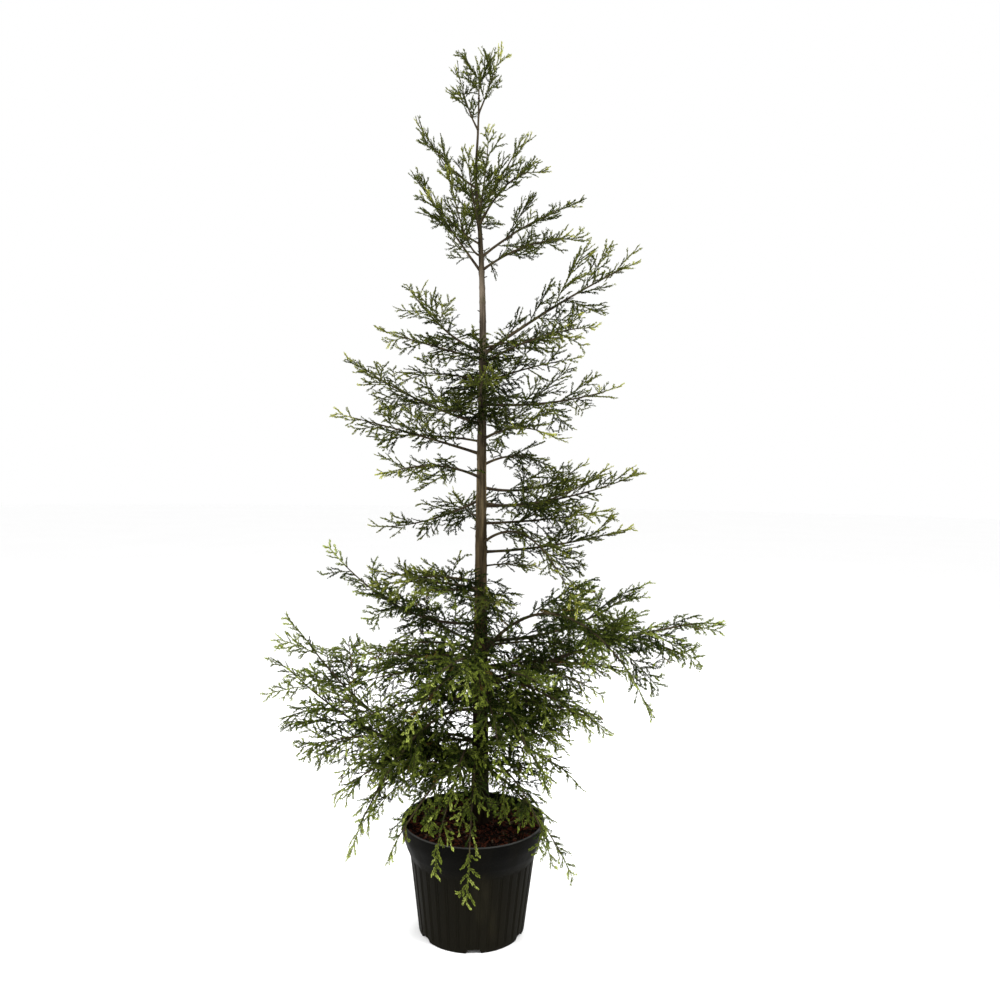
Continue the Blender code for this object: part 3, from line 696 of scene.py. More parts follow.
class Growth:
    """One limb's curve, with the random numbers that its sprays use, all drawn in the model's order."""

    def __init__(self, limb):
        self.limb = limb
        self.draw = random.Random("redwood " + limb.name)
        turn = math.radians(limb.heading)
        self.out = Vector((math.cos(turn), math.sin(turn), 0.0))
        self.aside = Vector((-math.sin(turn), math.cos(turn), 0.0))
        self.length = math.hypot(limb.reach, limb.rise)
        tip_length = max(LATERAL_LEAST, TIP_SPRAY * self.length)
        self.stem_end = 1 - TIP_SPRAY_OUT * min(tip_length / self.length, TIP_SPRAY_MOST)
        self.sweep = self.draw.uniform(-SWEEP, SWEEP) * limb.reach
        x, y, _ = trunk_at(limb.height)
        self.foot = Vector((x, y, limb.height))

    def point(self, share):
        limb = self.limb
        rise = limb.rise * share + 4 * limb.arch * share * (1 - share)
        return self.foot + self.out * limb.reach * share + self.aside * self.sweep * share**2 + UP * rise

    def along(self, share):
        return (self.point(share + SLOPE_STEP) - self.point(share - SLOPE_STEP)).normalized()

    def over(self, share):
        """The direction square to the limb, in its upright plane."""
        return self.along(share).cross(self.aside).normalized() * -1.0

    def radius(self, share):
        first = LIMB_RADIUS + LIMB_RADIUS_GROWTH * self.length
        collar = 1.0 + COLLAR * math.exp(-share / COLLAR_SHARE)
        return max(LEAST_RADIUS, first * (1 - (1 - LIMB_TIP_SHARE) * share) * collar)

    def heading_of(self, share, side, forward, lift):
        sideways = math.cos(lift) * side * self.aside + math.sin(lift) * self.over(share)
        return (math.cos(forward) * self.along(share) + math.sin(forward) * sideways).normalized()

    def rows(self, draw, start, step):
        """Laterals at even steps from a share of the limb on: share, side, length and three angles."""
        stretch = self.stem_end - start
        count = max(LATERAL_FEWEST, round(self.length * stretch / step))
        first_side = draw.choice((-1, 1))
        rows = []
        for number in range(count):
            along = (number + 0.5) / count
            moved = draw.uniform(-1, 1) * LATERAL_STEP_JITTER / count
            share = start + stretch * (along + moved)
            length = max(LATERAL_LEAST, LATERAL_LENGTH * self.length * (1 - LATERAL_TAPER * along))
            length *= 1 + draw.uniform(-1, 1) * LATERAL_LENGTH_JITTER
            forward = LATERAL_FORWARD_DEG - LATERAL_CLOSING_DEG * along
            forward += draw.uniform(-1, 1) * LATERAL_JITTER_DEG
            lift = draw.uniform(-1, 1) * LATERAL_LIFT_DEG
            roll = draw.uniform(-1, 1) * SPRAY_ROLL_DEG
            side = first_side * (-1) ** number
            rows.append((share, side, length, math.radians(forward), math.radians(lift), math.radians(roll)))
        return rows

    def laterals(self):
        return self.rows(self.draw, max(self.limb.bare + LATERAL_PAST_BOUGH, LATERAL_START), LATERAL_STEP)

    def between(self, draw, step, drop):
        """Shorter laterals, between the model's own and more of them under the limb."""
        rows = self.rows(draw, max(BETWEEN_START, self.limb.bare - BETWEEN_START), step)
        shorter = []
        for share, side, length, forward, lift, roll in rows:
            length *= draw.uniform(*BETWEEN_LENGTH)
            if share < BETWEEN_END:
                shorter.append((share, side, length, forward, lift - math.radians(drop), roll))
        return shorter


Strand = namedtuple("Strand", "root heading bend length face radius needle width spread spacing tint")


def on_strand(strand, share):
    return strand.root + (strand.heading * share + strand.bend * share**2) * strand.length


def heading_on(strand, share):
    return (strand.heading + strand.bend * 2 * share).normalized()


def turned_up(zone, heading, age):
    """How a shoot's end bends up or down, square to where it points, by its place in the crown."""
    upturn = zone.upturn_in + (zone.upturn_out - zone.upturn_in) * min(age, 1.0)
    return (UP - heading * heading.z) * upturn


def blocked(point):
    """Whether a point is in, or too near, the trunk, the pot, the soil or the floor."""
    if point.z < KEEP_OFF:
        return True
    away = math.hypot(point.x, point.y)
    if point.z < POT_HEIGHT + KEEP_OFF and away < pot_radius(point.z) + KEEP_OFF:
        return True
    if point.z > TRUNK_TOP:
        return False
    x, y, radius = trunk_at(point.z)
    return math.hypot(point.x - x, point.y - y) < radius + KEEP_OFF


def strand_blocked(strand, part):
    """Whether a strand's end, or a place part of the way along it, is blocked."""
    return blocked(on_strand(strand, 1.0)) or blocked(on_strand(strand, part))


def tint_of(draw, zone, age):
    age += draw.uniform(-AGE_SPREAD, AGE_SPREAD)
    if zone.name == "lower" and draw.random() < RUST_SHARE:
        return "rust"
    return TINTS[sum(age > limit for limit in zone.tints)]


class Foliage:
    """All the strands of one part of the crown: twigs and branchlets, which all carry needles."""

    def __init__(self, zone):
        self.zone = zone
        self.twigs = []
        self.branchlets = []

    def branchlet(self, draw, root, heading, face, length, age):
        """A branchlet, which forks if it is long enough."""
        zone = self.zone
        curl = face.cross(heading) * draw.uniform(-1, 1) * BRANCHLET_CURL
        bend = turned_up(zone, heading, age) + curl - face * SPRAY_DROOP
        spread = zone.spread * draw.uniform(*NEEDLE_SPREAD_JITTER)
        spread *= NEEDLE_OPEN - NEEDLE_CLOSING * min(age, 1.0)
        tint = tint_of(draw, zone, age)
        needles = (zone.needle, zone.width, spread, zone.spacing, tint)
        strand = Strand(root, heading, bend, length, face, BRANCHLET_RADIUS, *needles)
        if strand_blocked(strand, 0.5):
            return
        self.branchlets.append(strand)
        if length < FORK_FROM:
            return
        count = round(length * FORK_RUN / FORK_STEP)
        side = draw.choice((-1, 1))
        for number in range(count):
            share = FORK_START + FORK_RUN * (number + draw.uniform(*FORK_SPOT)) / count
            forward = math.radians(draw.uniform(*FORK_FORWARD_DEG))
            tangent = heading_on(strand, share)
            aside = face.cross(tangent).normalized() * side
            lift = face * draw.uniform(-FORK_LIFT, FORK_LIFT)
            direction = (tangent * math.cos(forward) + aside * math.sin(forward) + lift).normalized()
            short = min(length * draw.uniform(*FORK_SHARE) * (1 - FORK_TAPER * share), FORK_LONGEST)
            self.branchlet(draw, on_strand(strand, share), direction, face, short, age + FORK_AGE)
            side = -side

    def spray(self, draw, root, along, near, roll, length, radius, age):
        """A twig with alternate branchlets, in the model's plane and outline for a spray."""
        zone = self.zone
        across = (near - near.dot(along) * along).normalized()
        face = across.cross(along)
        across, face = (
            math.cos(roll) * across + math.sin(roll) * face,
            math.cos(roll) * face - math.sin(roll) * across,
        )
        if face.z < 0:
            face = -face
        swing = across * draw.uniform(-TWIG_SWING, TWIG_SWING)
        bend = turned_up(zone, along, age) - face * SPRAY_DROOP + swing
        radius = min(radius, TWIG_RADIUS + TWIG_RADIUS_GROWTH * length)
        age += draw.uniform(-SPRAY_AGE_SPREAD, SPRAY_AGE_SPREAD)
        tint = tint_of(draw, zone, age + AGE_ALONG_SPRAY * 0.5)
        needle, width = zone.needle * TWIG_NEEDLE, zone.width * TWIG_NEEDLE_WIDTH
        needles = (needle, width, TWIG_NEEDLE_SPREAD_DEG, zone.spacing * TWIG_NEEDLE_SPACING, tint)
        twig = Strand(root, along, bend, length, face, radius, *needles)
        if strand_blocked(twig, 0.4):
            return
        self.twigs.append(twig)
        half_width = max(SPRAY_LEAST_HALF_WIDTH, SPRAY_HALF_WIDTH * length)
        count = max(BRANCHLET_FEWEST, round(length * (1 - TWIG_START) / zone.step))
        side = draw.choice((-1, 1))
        for number in range(count):
            run = TWIG_START + (1 - TWIG_START) * (number + draw.uniform(*BRANCHLET_SPOT)) / count
            outline = min(1.0, OUTLINE_FOOT + OUTLINE_RISE * run) * (1 - OUTLINE_TAPER * run**2)
            forward = math.radians(draw.uniform(*zone.forward) - BRANCHLET_CLOSING_DEG * run)
            reach = half_width * outline * draw.uniform(*BRANCHLET_LENGTH) / math.sin(forward)
            reach = min(reach, (1 - run) * length + BRANCHLET_AT_TIP)
            tangent = heading_on(twig, run)
            aside = face.cross(tangent).normalized() * side
            lift = face * draw.uniform(-BRANCHLET_LIFT, BRANCHLET_LIFT)
            heading = (tangent * math.cos(forward) + aside * math.sin(forward) + lift).normalized()
            self.branchlet(draw, on_strand(twig, run), heading, face, reach, age + AGE_ALONG_SPRAY * run)
            side = -side

    def lateral(self, draw, growth, share, side, length, forward, lift, roll):
        along = growth.heading_of(share, side, forward, lift)
        root, near, radius = growth.point(share), growth.along(share), growth.radius(share)
        self.spray(draw, root, along, near, roll, length, radius, AGE_ALONG_LIMB * share)

    def limb(self, growth):
        """The model's sprays, the shorter ones between them, and the shoots on the limb itself."""
        draw = random.Random("branchlets " + growth.limb.name)
        for row in growth.laterals():
            self.lateral(draw, growth, *row)
        root_share = growth.stem_end - SPRAY_SINK / growth.length
        root, radius = growth.point(root_share), growth.radius(root_share)
        to_tip = growth.point(1.0) - root
        roll = math.radians(growth.draw.uniform(-1, 1) * SPRAY_ROLL_DEG)
        along, length = to_tip.normalized(), to_tip.length
        self.spray(draw, root, along, growth.aside, roll, length, radius, AGE_ALONG_LIMB)
        step = self.zone.between * (OPEN_STEP if growth.limb.name in OPEN_LIMBS else 1)
        for row in growth.between(draw, step, self.zone.drop):
            self.lateral(draw, growth, *row)
        self.shoots(draw, growth)

    def shoots(self, draw, growth):
        """Branchlets that stand on the limb itself."""
        start = max(SHOOT_START, growth.limb.bare)
        stretch = growth.stem_end - start
        count = round(growth.length * stretch / (self.zone.step * SHOOT_STEP))
        for number in range(count):
            share = start + stretch * (number + draw.random()) / count
            forward = math.radians(draw.uniform(*SHOOT_FORWARD_DEG))
            side, lift = draw.choice((-1, 1)), draw.uniform(-SHOOT_LIFT, SHOOT_LIFT)
            heading = growth.heading_of(share, side, forward, lift)
            root, face, age = growth.point(share), growth.over(share), AGE_ALONG_LIMB * share
            self.branchlet(draw, root, heading, face, draw.uniform(*SHOOT_LENGTH), age)

    def core(self, draw, low, high, count):
        """Short sprays straight from the trunk."""
        for _ in range(count):
            height = draw.uniform(low, high)
            turn = draw.uniform(0, 2 * math.pi)
            out = Vector((math.cos(turn), math.sin(turn), 0.0))
            x, y, radius = trunk_at(height)
            root = Vector((x, y, height)) + out * radius * CORE_SHOOT_ROOT
            heading = (out + UP * draw.uniform(*CORE_SHOOT_RISE)).normalized()
            roll = draw.uniform(-CORE_SHOOT_ROLL, CORE_SHOOT_ROLL)
            length = draw.uniform(*CORE_SHOOT_LENGTH)
            self.spray(draw, root, heading, out.cross(UP), roll, length, CORE_SHOOT_RADIUS, 0.0)


# Meshes of strands and needles, for many at a time


def columns(strands, *fields):
    return [np.array([getattr(strand, field)[:] for strand in strands], float) for field in fields]


def numbers(strands, *fields):
    return [np.array([getattr(strand, field) for strand in strands], float) for field in fields]


def strand_tubes(strands, rings, sides):
    """Tapered tubes with a pointed end along each strand, as points and triangles."""
    root, heading, bend, face = columns(strands, "root", "heading", "bend", "face")
    length, radius = numbers(strands, "length", "radius")
    points = np.empty((len(strands), rings * sides + 1, 3))
    points[:, -1] = root + (heading + bend) * length[:, None]
    for ring in range(rings):
        share = ring / rings
        centre = root + (heading * share + bend * share**2) * length[:, None]
        tangent = unit(heading + 2 * bend * share)
        aside = unit(np.cross(face, tangent))
        over = np.cross(tangent, aside)
        wide = (radius * (1 - (1 - TIP_NARROW) * share))[:, None]
        for side in range(sides):
            turn = 2 * math.pi * side / sides
            points[:, ring * sides + side] = centre + (math.cos(turn) * aside + math.sin(turn) * over) * wide
    faces = np.concatenate((grid_faces(rings, sides), fan_faces((rings - 1) * sides, sides, rings * sides)))
    offsets = np.arange(len(strands))[:, None, None] * points.shape[1]
    return points.reshape(-1, 3), (faces[None] + offsets).reshape(-1, 3)


def needles_on(strands, seed, all_round):
    """Folded kites in two ranks along each strand, or all round it, as four points for each needle."""
    dice = np.random.default_rng(seed)
    root, heading, bend, face = columns(strands, "root", "heading", "bend", "face")
    length, radius, spacing, spread = numbers(strands, "length", "radius", "spacing", "spread")
    long, width = numbers(strands, "needle", "width")
    counts = np.maximum(2, np.round(2 * length / spacing)).astype(int)
    of = np.repeat(np.arange(len(strands)), counts)
    total = len(of)
    number = np.arange(total) - np.repeat(np.cumsum(counts) - counts, counts)
    share = NEEDLE_START + NEEDLE_RUN * (number + dice.uniform(0.0, 1.0, total)) / counts[of]
    at = root[of] + (heading[of] * share[:, None] + bend[of] * (share**2)[:, None]) * length[of][:, None]
    tangent = unit(heading[of] + 2 * bend[of] * share[:, None])
    aside = unit(np.cross(face[of], tangent))
    over = np.cross(tangent, aside)
    if all_round:
        turn = np.radians(GOLDEN_ANGLE_DEG) * number
    else:
        turn = math.pi * (number % 2) + dice.normal(0.0, NEEDLE_TWIST, total)
    outward = np.cos(turn)[:, None] * aside + np.sin(turn)[:, None] * over
    lean = spread[of] * (NEEDLE_OPEN - NEEDLE_CLOSING_TO_TIP * share)
    lean = np.radians(lean + dice.normal(0.0, NEEDLE_JITTER_DEG, total))[:, None]
    pointing = np.cos(lean) * tangent + np.sin(lean) * outward
    (foot, foot_growth), (tip, tip_growth) = NEEDLE_AT_FOOT, NEEDLE_AT_TIP
    at_ends = np.minimum(1.0, np.minimum(foot + foot_growth * share, tip + tip_growth * (1 - share)))
    long = long[of] * at_ends * dice.normal(1.0, NEEDLE_LENGTH_SPREAD, total).clip(0.5, 1.5)
    flat = np.cross(tangent, outward) + NEEDLE_TWIST * dice.normal(0.0, 1.0, (total, 3))
    wide = unit(np.cross(flat, pointing)) * (width[of] / 2)[:, None]
    raised = np.cross(pointing, wide) * NEEDLE_FOLD
    base = at + outward * (radius[of] * NEEDLE_ROOT)[:, None]
    widest = base + pointing * (long * NEEDLE_WIDEST)[:, None] + raised
    return np.stack((base, widest - wide, base + pointing * long[:, None], widest + wide), axis=1)


def needle_faces(count):
    first = np.arange(count)[:, None] * 4
    return np.concatenate((first + np.array((0, 1, 2)), first + np.array((0, 2, 3))), axis=1).reshape(-1, 3)


# Pot and mulch


def pot_radius(height):
    """The outer wall's radius at a height."""
    places = (POT_FOOT, POT_BODY_SHOULDER, POT_BODY_TOP, POT_STEP, POT_COLLAR_FOOT, POT_COLLAR_TOP, POT_RIM)
    return float(np.interp(height, [place[1] for place in places], [place[0] for place in places]))


def soil_height(away):
    places = ((0.0, SOIL_TOP), (SOIL_LEVEL_RADIUS, SOIL_TOP), SOIL_SLOPE, (SOIL_RADIUS, SOIL_EDGE))
    return np.interp(away, [place[0] for place in places], [place[1] for place in places])


def pot_rows():
    """The pot's section as (radius, height), from the middle underneath, over the lip and to the floor."""
    foot = POT_FOOT[0]
    rows = [(0.0, 0.0), (0.08, 0.0), (foot - DRAIN_DEPTH - 0.0015, 0.0), (foot - DRAIN_DEPTH, 0.0001)]
    rows += [(foot - POT_FOOT_ROUND, 0.0002), (foot - 0.0012, 0.0012), POT_FOOT]
    heights = [0.008, 0.0125, 0.0145, 0.017, 0.020, 0.028, 0.06, 0.10, 0.14, 0.18, POT_BODY_SHOULDER[1]]
    heights += [0.245, 0.254, 0.258, POT_BODY_TOP[1], 0.268, 0.276, POT_STEP[1], 0.287, POT_COLLAR_FOOT[1]]
    heights += [0.296, 0.306, 0.322, POT_COLLAR_TOP[1], 0.350, 0.362, 0.3675]
    rows += [(pot_radius(height), height) for height in heights]
    rim = POT_RIM[0]
    rows += [(rim - 0.0002, 0.3712), (rim, 0.3735), (rim - 0.0009, 0.3764), (rim - POT_LIP_ROUND, POT_HEIGHT)]
    inner = rim - POT_LIP
    rows += [(inner + POT_LIP_ROUND, POT_HEIGHT), (inner + 0.0008, 0.3766), (inner, POT_RIM[1])]
    rows += [(POT_COLLAR_FOOT[0] - POT_STEP_WALL, POT_COLLAR_FOOT[1])]
    rows += [(POT_BODY_TOP[0] - POT_STEP_WALL, POT_BODY_TOP[1])]
    rows += [(foot - POT_WALL, POT_FLOOR), (0.0, POT_FLOOR)]
    return rows


def drain_height(turns):
    """How high the notches in the foot stand at each angle."""
    step = 2 * math.pi / DRAIN_COUNT
    away = (turns - math.radians(DRAIN_FIRST_DEG) + step / 2) % step - step / 2
    half = DRAIN_WIDTH / 2 / POT_FOOT[0]
    share = np.clip((half - np.abs(away)) / (half * (1 - DRAIN_TOP_SHARE) * DRAIN_ROUNDING), 0, 1)
    return DRAIN_HEIGHT * np.sin(share * math.pi / 2)


def groove_depth(turns, height):
    """How far the wall is set in at each angle, between the flat panels."""
    phase = (turns / (2 * math.pi) * PANELS) % 1.0
    across = np.clip((phase - PANEL_SHARE) / (1 - PANEL_SHARE), 0, 1)
    rib = np.clip(1 - np.abs(across - 0.5) * RIB_NARROWNESS, 0, 1)
    groove = np.clip(np.sin(across * math.pi) * GROOVE_STEEPNESS, 0, 1) - RIB_SHARE * rib
    ends = min(max(min(height - PANEL_LOW, PANEL_HIGH - height) / PANEL_END, 0), 1)
    return PANEL_GROOVE * groove * ends


def make_pot():
    turns = circle(POT_SIDES)
    notch = drain_height(turns)
    rows = pot_rows()
    outside_end = next(number for number, row in enumerate(rows) if row[1] >= POT_HEIGHT)
    rings = []
    for number, (radius, height) in enumerate(rows):
        away = np.full(POT_SIDES, radius)
        tall = np.full(POT_SIDES, height)
        if number < outside_end:
            away = away - groove_depth(turns, height)
            if height > 0:
                tall = np.maximum(tall, notch)
                wall = [pot_radius(one) for one in tall]
                away = np.where((tall > height) & (radius > POT_FOOT[0] - 0.002), wall, away)
        rings.append(np.stack((away * np.cos(turns), away * np.sin(turns), tall), axis=1))
    faces = grid_faces(len(rows), POT_SIDES)
    pot = make_piece("pot_shell", np.concatenate(rings), faces, pot_material())
    pot.data.set_sharp_from_angle(angle=math.radians(38))
    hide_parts("pot")


def make_mulch():
    """A rough bed under loose chips of bark, with moss along the back and the right."""
    dice = np.random.default_rng(7)
    rings, sides = MULCH_RINGS, MULCH_SIDES
    away = np.linspace(0.0, SOIL_RADIUS, rings)
    turns = circle(sides)
    across, along = np.meshgrid(np.arange(sides) / sides, np.linspace(0, 1, rings))
    rough = sum(high * lattice_noise(seed, across, along, *cells) for seed, *cells, high in MULCH_ROUGHNESS)
    rough = rough * np.minimum(1, away / 0.03)[:, None]
    height = soil_height(away)[:, None] - MULCH_UNDER_CHIPS + rough
    x, y = away[:, None] * np.cos(turns)[None], away[:, None] * np.sin(turns)[None]
    top = np.stack((x, y, height), axis=-1).reshape(-1, 3)
    skirt_height = np.full(sides, POT_COLLAR_FOOT[1])
    skirt = np.stack((MULCH_SKIRT * x[-1], MULCH_SKIRT * y[-1], skirt_height), axis=-1)
    # The bed under the chips is near black, darkened with painted shade.
    look = mulch_material("mulch_dark", (0.0012, 0.0006, 0.0005), (0.005, 0.002, 0.0015))
    faces = grid_faces(rings + 1, sides)[:, ::-1]
    bed = make_piece("mulch_bed", np.concatenate((top, skirt)), faces, look)
    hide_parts("soil")
    for name, share, dark, light in CHIP_LOOKS:
        chips = Gathered()
        for _ in range(round(CHIPS * share)):
            chips.add(*bark_chip(dice))
        chips.make("bark_chips_" + name, mulch_material("bark_chip_" + name, dark, light), False)
    moss = Gathered()
    for _ in range(MOSS_TUFTS):
        add_moss(moss, dice)
    look = needle_material("moss", (0.008, 0.011, 0.003), (0.036, 0.040, 0.010), 0.75)
    moss.make("moss", look, False)


def bark_chip(dice):
    """A flat splinter of bark with uneven corners, laid on the bed at some angle."""
    away = SOIL_RADIUS * math.sqrt(dice.uniform(0.03, 0.93))
    turn = dice.uniform(0, 2 * math.pi)
    size = [dice.uniform(*CHIP_LENGTH), dice.uniform(*CHIP_WIDTH), dice.uniform(*CHIP_THICKNESS)]
    outline = ((-0.5, -0.5), (0.5, -0.5), (0.5, 0.5), (-0.5, 0.5))
    corners = np.array([(x, y, z) for z in (-0.5, 0.5) for x, y in outline])
    corners = corners * size * dice.uniform(0.65, 1.2, (8, 3))
    spin = Matrix.Rotation(dice.uniform(0, 2 * math.pi), 3, "Z")
    for axis, tilt in zip("YX", CHIP_TILT):
        spin = spin @ Matrix.Rotation(dice.normal(0, tilt), 3, axis)
    place = (away * math.cos(turn), away * math.sin(turn), soil_height(away) + dice.uniform(0.0, 0.0032))
    points = corners @ np.array(spin).T + np.array(place)
    points[:, 2] = np.minimum(points[:, 2], POT_HEIGHT - 0.001)
    faces = np.array([
        (0, 2, 1), (0, 3, 2), (4, 5, 6), (4, 6, 7), (0, 1, 5), (0, 5, 4),
        (1, 2, 6), (1, 6, 5), (2, 3, 7), (2, 7, 6), (3, 0, 4), (3, 4, 7),
    ])
    return points, faces


def add_moss(moss, dice):
    """One tuft of short blades."""
    turn = dice.uniform(*MOSS_TURN)
    away = dice.uniform(*MOSS_AWAY)
    centre = np.array((away * math.cos(turn), away * math.sin(turn), soil_height(away) - 0.001))
    for _ in range(MOSS_BLADES):
        foot = centre + np.append(dice.normal(0, MOSS_REACH, 2), 0.0)
        lean = unit(np.append(dice.normal(0, 0.6, 2), 1.0))
        tall = lean * dice.uniform(*MOSS_BLADE_LENGTH)
        wide = unit(np.cross(lean, dice.normal(0, 1, 3))) * MOSS_BLADE_HALF_WIDTH
        points = np.stack((foot, foot + tall * 0.5 - wide, foot + tall, foot + tall * 0.5 + wide))
        moss.add(points, needle_faces(1))


# Trunk and limbs


def trunk_radius(height, angle):
    """The model's radius, with the root flare and its lobes."""
    flare = FLARE * np.exp(-np.maximum(height - TRUNK_FOOT, 0) / FLARE_HEIGHT)
    return trunk_at(height)[..., 2] + flare * (1 + FLARE_LOBE_SHARE * np.cos(FLARE_LOBES * angle))


def make_trunk(growths):
    """The trunk with fibrous upright fissures, which fade to smooth bark and old branch scars at the top."""
    foot, top = TRUNK_FOOT - TRUNK_SUNK, TRUNK_TOP
    rings = round((top - foot) / TRUNK_RING_STEP)
    angle, height = np.meshgrid(circle(TRUNK_SIDES), np.linspace(foot, top, rings))
    across, along = angle / (2 * math.pi), (height - foot) / (top - foot)
    station = trunk_at(height)
    depth = np.clip(station[..., 2] / FISSURE_FULL_RADIUS, 0, 1) ** FISSURE_FADING
    wander = across + FISSURE_WANDER * lattice_noise(10, across, along, 5, 22)
    radius = trunk_radius(height, angle)
    for seed, cells_round, cells_along, deep in FISSURES:
        waves = lattice_noise(seed, wander, along, cells_round, cells_along)
        radius += 0.8 * deep * depth * (1 - 2.2 * np.sqrt(np.abs(waves) + 0.01))
    for scar in SCAR_HEIGHTS:
        near = np.exp(-(((height - scar) / SCAR_HALF_HEIGHT) ** 2))
        radius += SCAR_SWELL * near * (0.6 + 0.4 * np.cos(angle * 2))
    for growth in growths:
        facing = np.cos(angle - math.radians(growth.limb.heading)).clip(0, 1) ** 6
        near = np.exp(-(((height - growth.limb.height) / LIMB_SWELL_HALF_HEIGHT) ** 2))
        radius += LIMB_SWELL * growth.radius(0.0) * facing * near
    x, y = station[..., 0] + radius * np.cos(angle), station[..., 1] + radius * np.sin(angle)
    points = np.stack((x, y, height), axis=-1).reshape(-1, 3)
    ends = np.array([(*station[-1, 0, :2], top), (*station[0, 0, :2], foot)])
    cap = fan_faces((rings - 1) * TRUNK_SIDES, TRUNK_SIDES, len(points))
    bottom = fan_faces(0, TRUNK_SIDES, len(points) + 1)[:, ::-1]
    faces = np.concatenate((grid_faces(rings, TRUNK_SIDES), cap, bottom))
    trunk = make_piece("trunk_bark", np.concatenate((points, ends)), faces, bark_material())
    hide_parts("trunk")


def add_tube(gathered, centres, radii):
    """A tube along a list of points, with a row of radii for each ring, closed at its far end."""
    sides = radii.shape[1]
    tangents = unit(np.gradient(centres, axis=0))
    near = np.array((0.0, 0.0, 1.0)) if abs(tangents[0][2]) < 0.9 else np.array((0.0, 1.0, 0.0))
    aside = unit(np.cross(near, tangents))
    over = np.cross(tangents, aside)
    turns = circle(sides)
    spokes = np.cos(turns)[None, :, None] * aside[:, None] + np.sin(turns)[None, :, None] * over[:, None]
    rings = centres[:, None] + spokes * radii[:, :, None]
    points = np.concatenate((rings.reshape(-1, 3), (centres[-1] + tangents[-1] * radii[-1].mean())[None]))
    last = (len(centres) - 1) * sides
    faces = (grid_faces(len(centres), sides), fan_faces(last, sides, last + sides))
    gathered.add(points, np.concatenate(faces))


def make_limbs(growths):
    """Every limb's wood, from inside the trunk to the spray at its end, and the trunk's dead stubs."""
    gathered = Gathered()
    for number, growth in enumerate(growths):
        count = max(8, round(growth.length / LIMB_RING_STEP))
        shares = np.linspace(0.0, growth.stem_end + 0.01, count)
        centres = np.array([growth.point(share)[:] for share in shares])
        radii = np.array([growth.radius(share) for share in shares])
        across, along = np.meshgrid(np.arange(LIMB_SIDES) / LIMB_SIDES, np.linspace(0, 1, count))
        knobs = 1 + LIMB_KNOBS * lattice_noise(100 + number, across, along, 4, max(6, count // 3))
        add_tube(gathered, centres, radii[:, None] * knobs)
    for height, turn, length in STUBS:
        x, y, radius = trunk_at(height)
        out = np.array((math.cos(math.radians(turn)), math.sin(math.radians(turn)), 0.35))
        steps = np.linspace(0, 1, 5)[:, None]
        centres = np.array((x, y, height)) + out * (radius * 0.6 + (radius * 0.5 + length) * steps)
        add_tube(gathered, centres, np.repeat(np.linspace(0.0028, 0.0014, 5)[:, None], 7, axis=1))
    limbs = gathered.make("limbs", limb_material())
    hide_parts(*("bough_" + limb.name for limb in LIMBS if limb.bare))


# Crown


def zone_of(limb):
    return "upper" if limb is LEADER else limb.name.split("_")[0]


def make_crown(growths):
    bark = twig_material()
    for index, zone in enumerate(ZONES):
        foliage = Foliage(zone)
        for growth in growths:
            if zone_of(growth.limb) == zone.name:
                foliage.limb(growth)
        foliage.core(random.Random("core " + zone.name), *CORE_SHOOTS[zone.name])
        make_twigs(foliage, bark)
        for number, (name, look) in enumerate(NEEDLE_LOOKS.items()):
            dark, light = [(red * zone.red, green, blue) for red, green, blue in look[:2]]
            material = needle_material("needles_%s_%s" % (zone.name, name), dark, light, look[2])
            make_needles(foliage, index * len(NEEDLE_LOOKS) + number, name, material)


def make_twigs(foliage, bark):
    zone = foliage.zone.name
    gathered = Gathered()
    gathered.add(*strand_tubes(foliage.twigs, TWIG_RINGS, TWIG_SIDES))
    gathered.add(*strand_tubes(foliage.branchlets, BRANCHLET_RINGS, BRANCHLET_SIDES))
    twigs = gathered.make("twigs_" + zone, bark)
    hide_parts(*("mass_" + limb.name for limb in (LEADER, *LIMBS) if zone_of(limb) == zone))


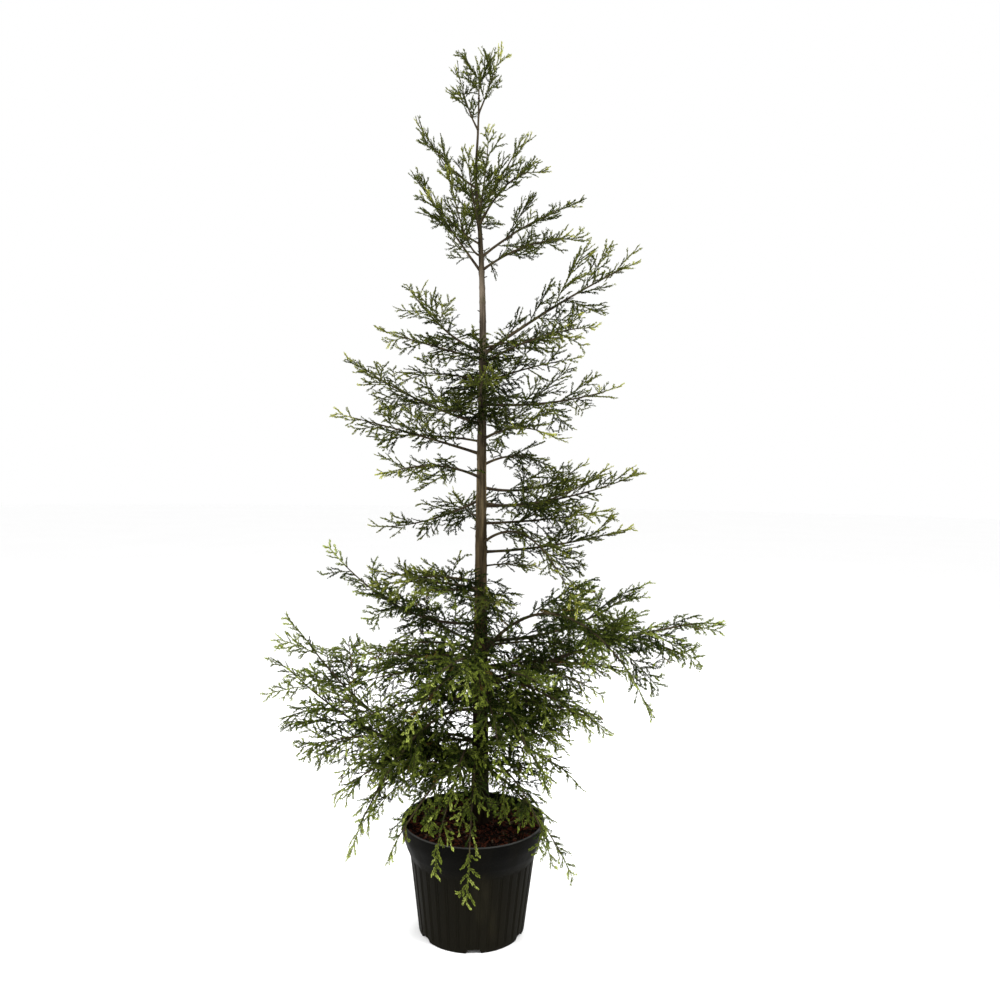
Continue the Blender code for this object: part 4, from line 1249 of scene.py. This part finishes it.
def make_needles(foliage, seed, name, material):
    """The needles of one tint, in one piece or more."""
    parts = []
    for strands, all_round in ((foliage.branchlets, False), (foliage.twigs, True)):
        chosen = [strand for strand in strands if strand.tint == name]
        if chosen:
            parts.append(needles_on(chosen, seed, all_round))
    if not parts:
        return
    points = np.concatenate(parts)
    pieces = math.ceil(len(points) * 2 / PIECE_TRIANGLES)
    for number, part in enumerate(np.array_split(points, pieces)):
        label = "needles_%s_%s_%d" % (foliage.zone.name, name, number + 1)
        make_piece(label, part.reshape(-1, 3), needle_faces(len(part)), material, False)


# Stage, light and camera


def add_area_light(name, place, target, size, power):
    light = bpy.data.lights.new(name, "AREA")
    light.size = size
    light.energy = power
    lamp = add_object(name, light)
    lamp.location = place
    lamp.rotation_euler = (Vector(target) - Vector(place)).to_track_quat("-Z", "Y").to_euler()


def make_stage():
    turns = circle(FLOOR_SIDES)
    edge = [(FLOOR_RADIUS * math.cos(turn), FLOOR_RADIUS * math.sin(turn), 0.0) for turn in turns]
    mesh = bpy.data.meshes.new("studio_floor")
    mesh.from_pydata(edge, [], [range(FLOOR_SIDES)])
    mesh.materials.append(floor_material())
    floor = add_object("studio_floor", mesh)
    world = bpy.data.worlds.new("studio")
    world.use_nodes = True
    background = world.node_tree.nodes["Background"]
    background.inputs["Color"].default_value = (1.0, 1.0, 1.0, 1.0)
    background.inputs["Strength"].default_value = 1.0
    bpy.context.scene.world = world
    for values in LIGHTS:
        add_area_light(*values)
    bpy.context.scene.view_settings.view_transform = "Standard"


def make_camera():
    camera = bpy.data.cameras.new("camera")
    camera.lens = CAMERA_LENS_MM
    camera.sensor_width = SENSOR_MM
    eye = add_object("camera", camera)
    turn = Matrix.Rotation(math.radians(90 - CAMERA_DOWN_DEG), 4, "X")
    roll = Matrix.Rotation(math.radians(CAMERA_ROLL_DEG), 4, "Z")
    eye.matrix_world = Matrix.Translation(CAMERA_PLACE) @ turn @ roll
    bpy.context.scene.camera = eye


make_camera()
make_stage()
make_pot()
make_mulch()
all_growths = [Growth(limb) for limb in (LEADER, *LIMBS, *INNER_LIMBS)]
make_trunk(all_growths)
make_limbs(all_growths)
make_crown(all_growths)
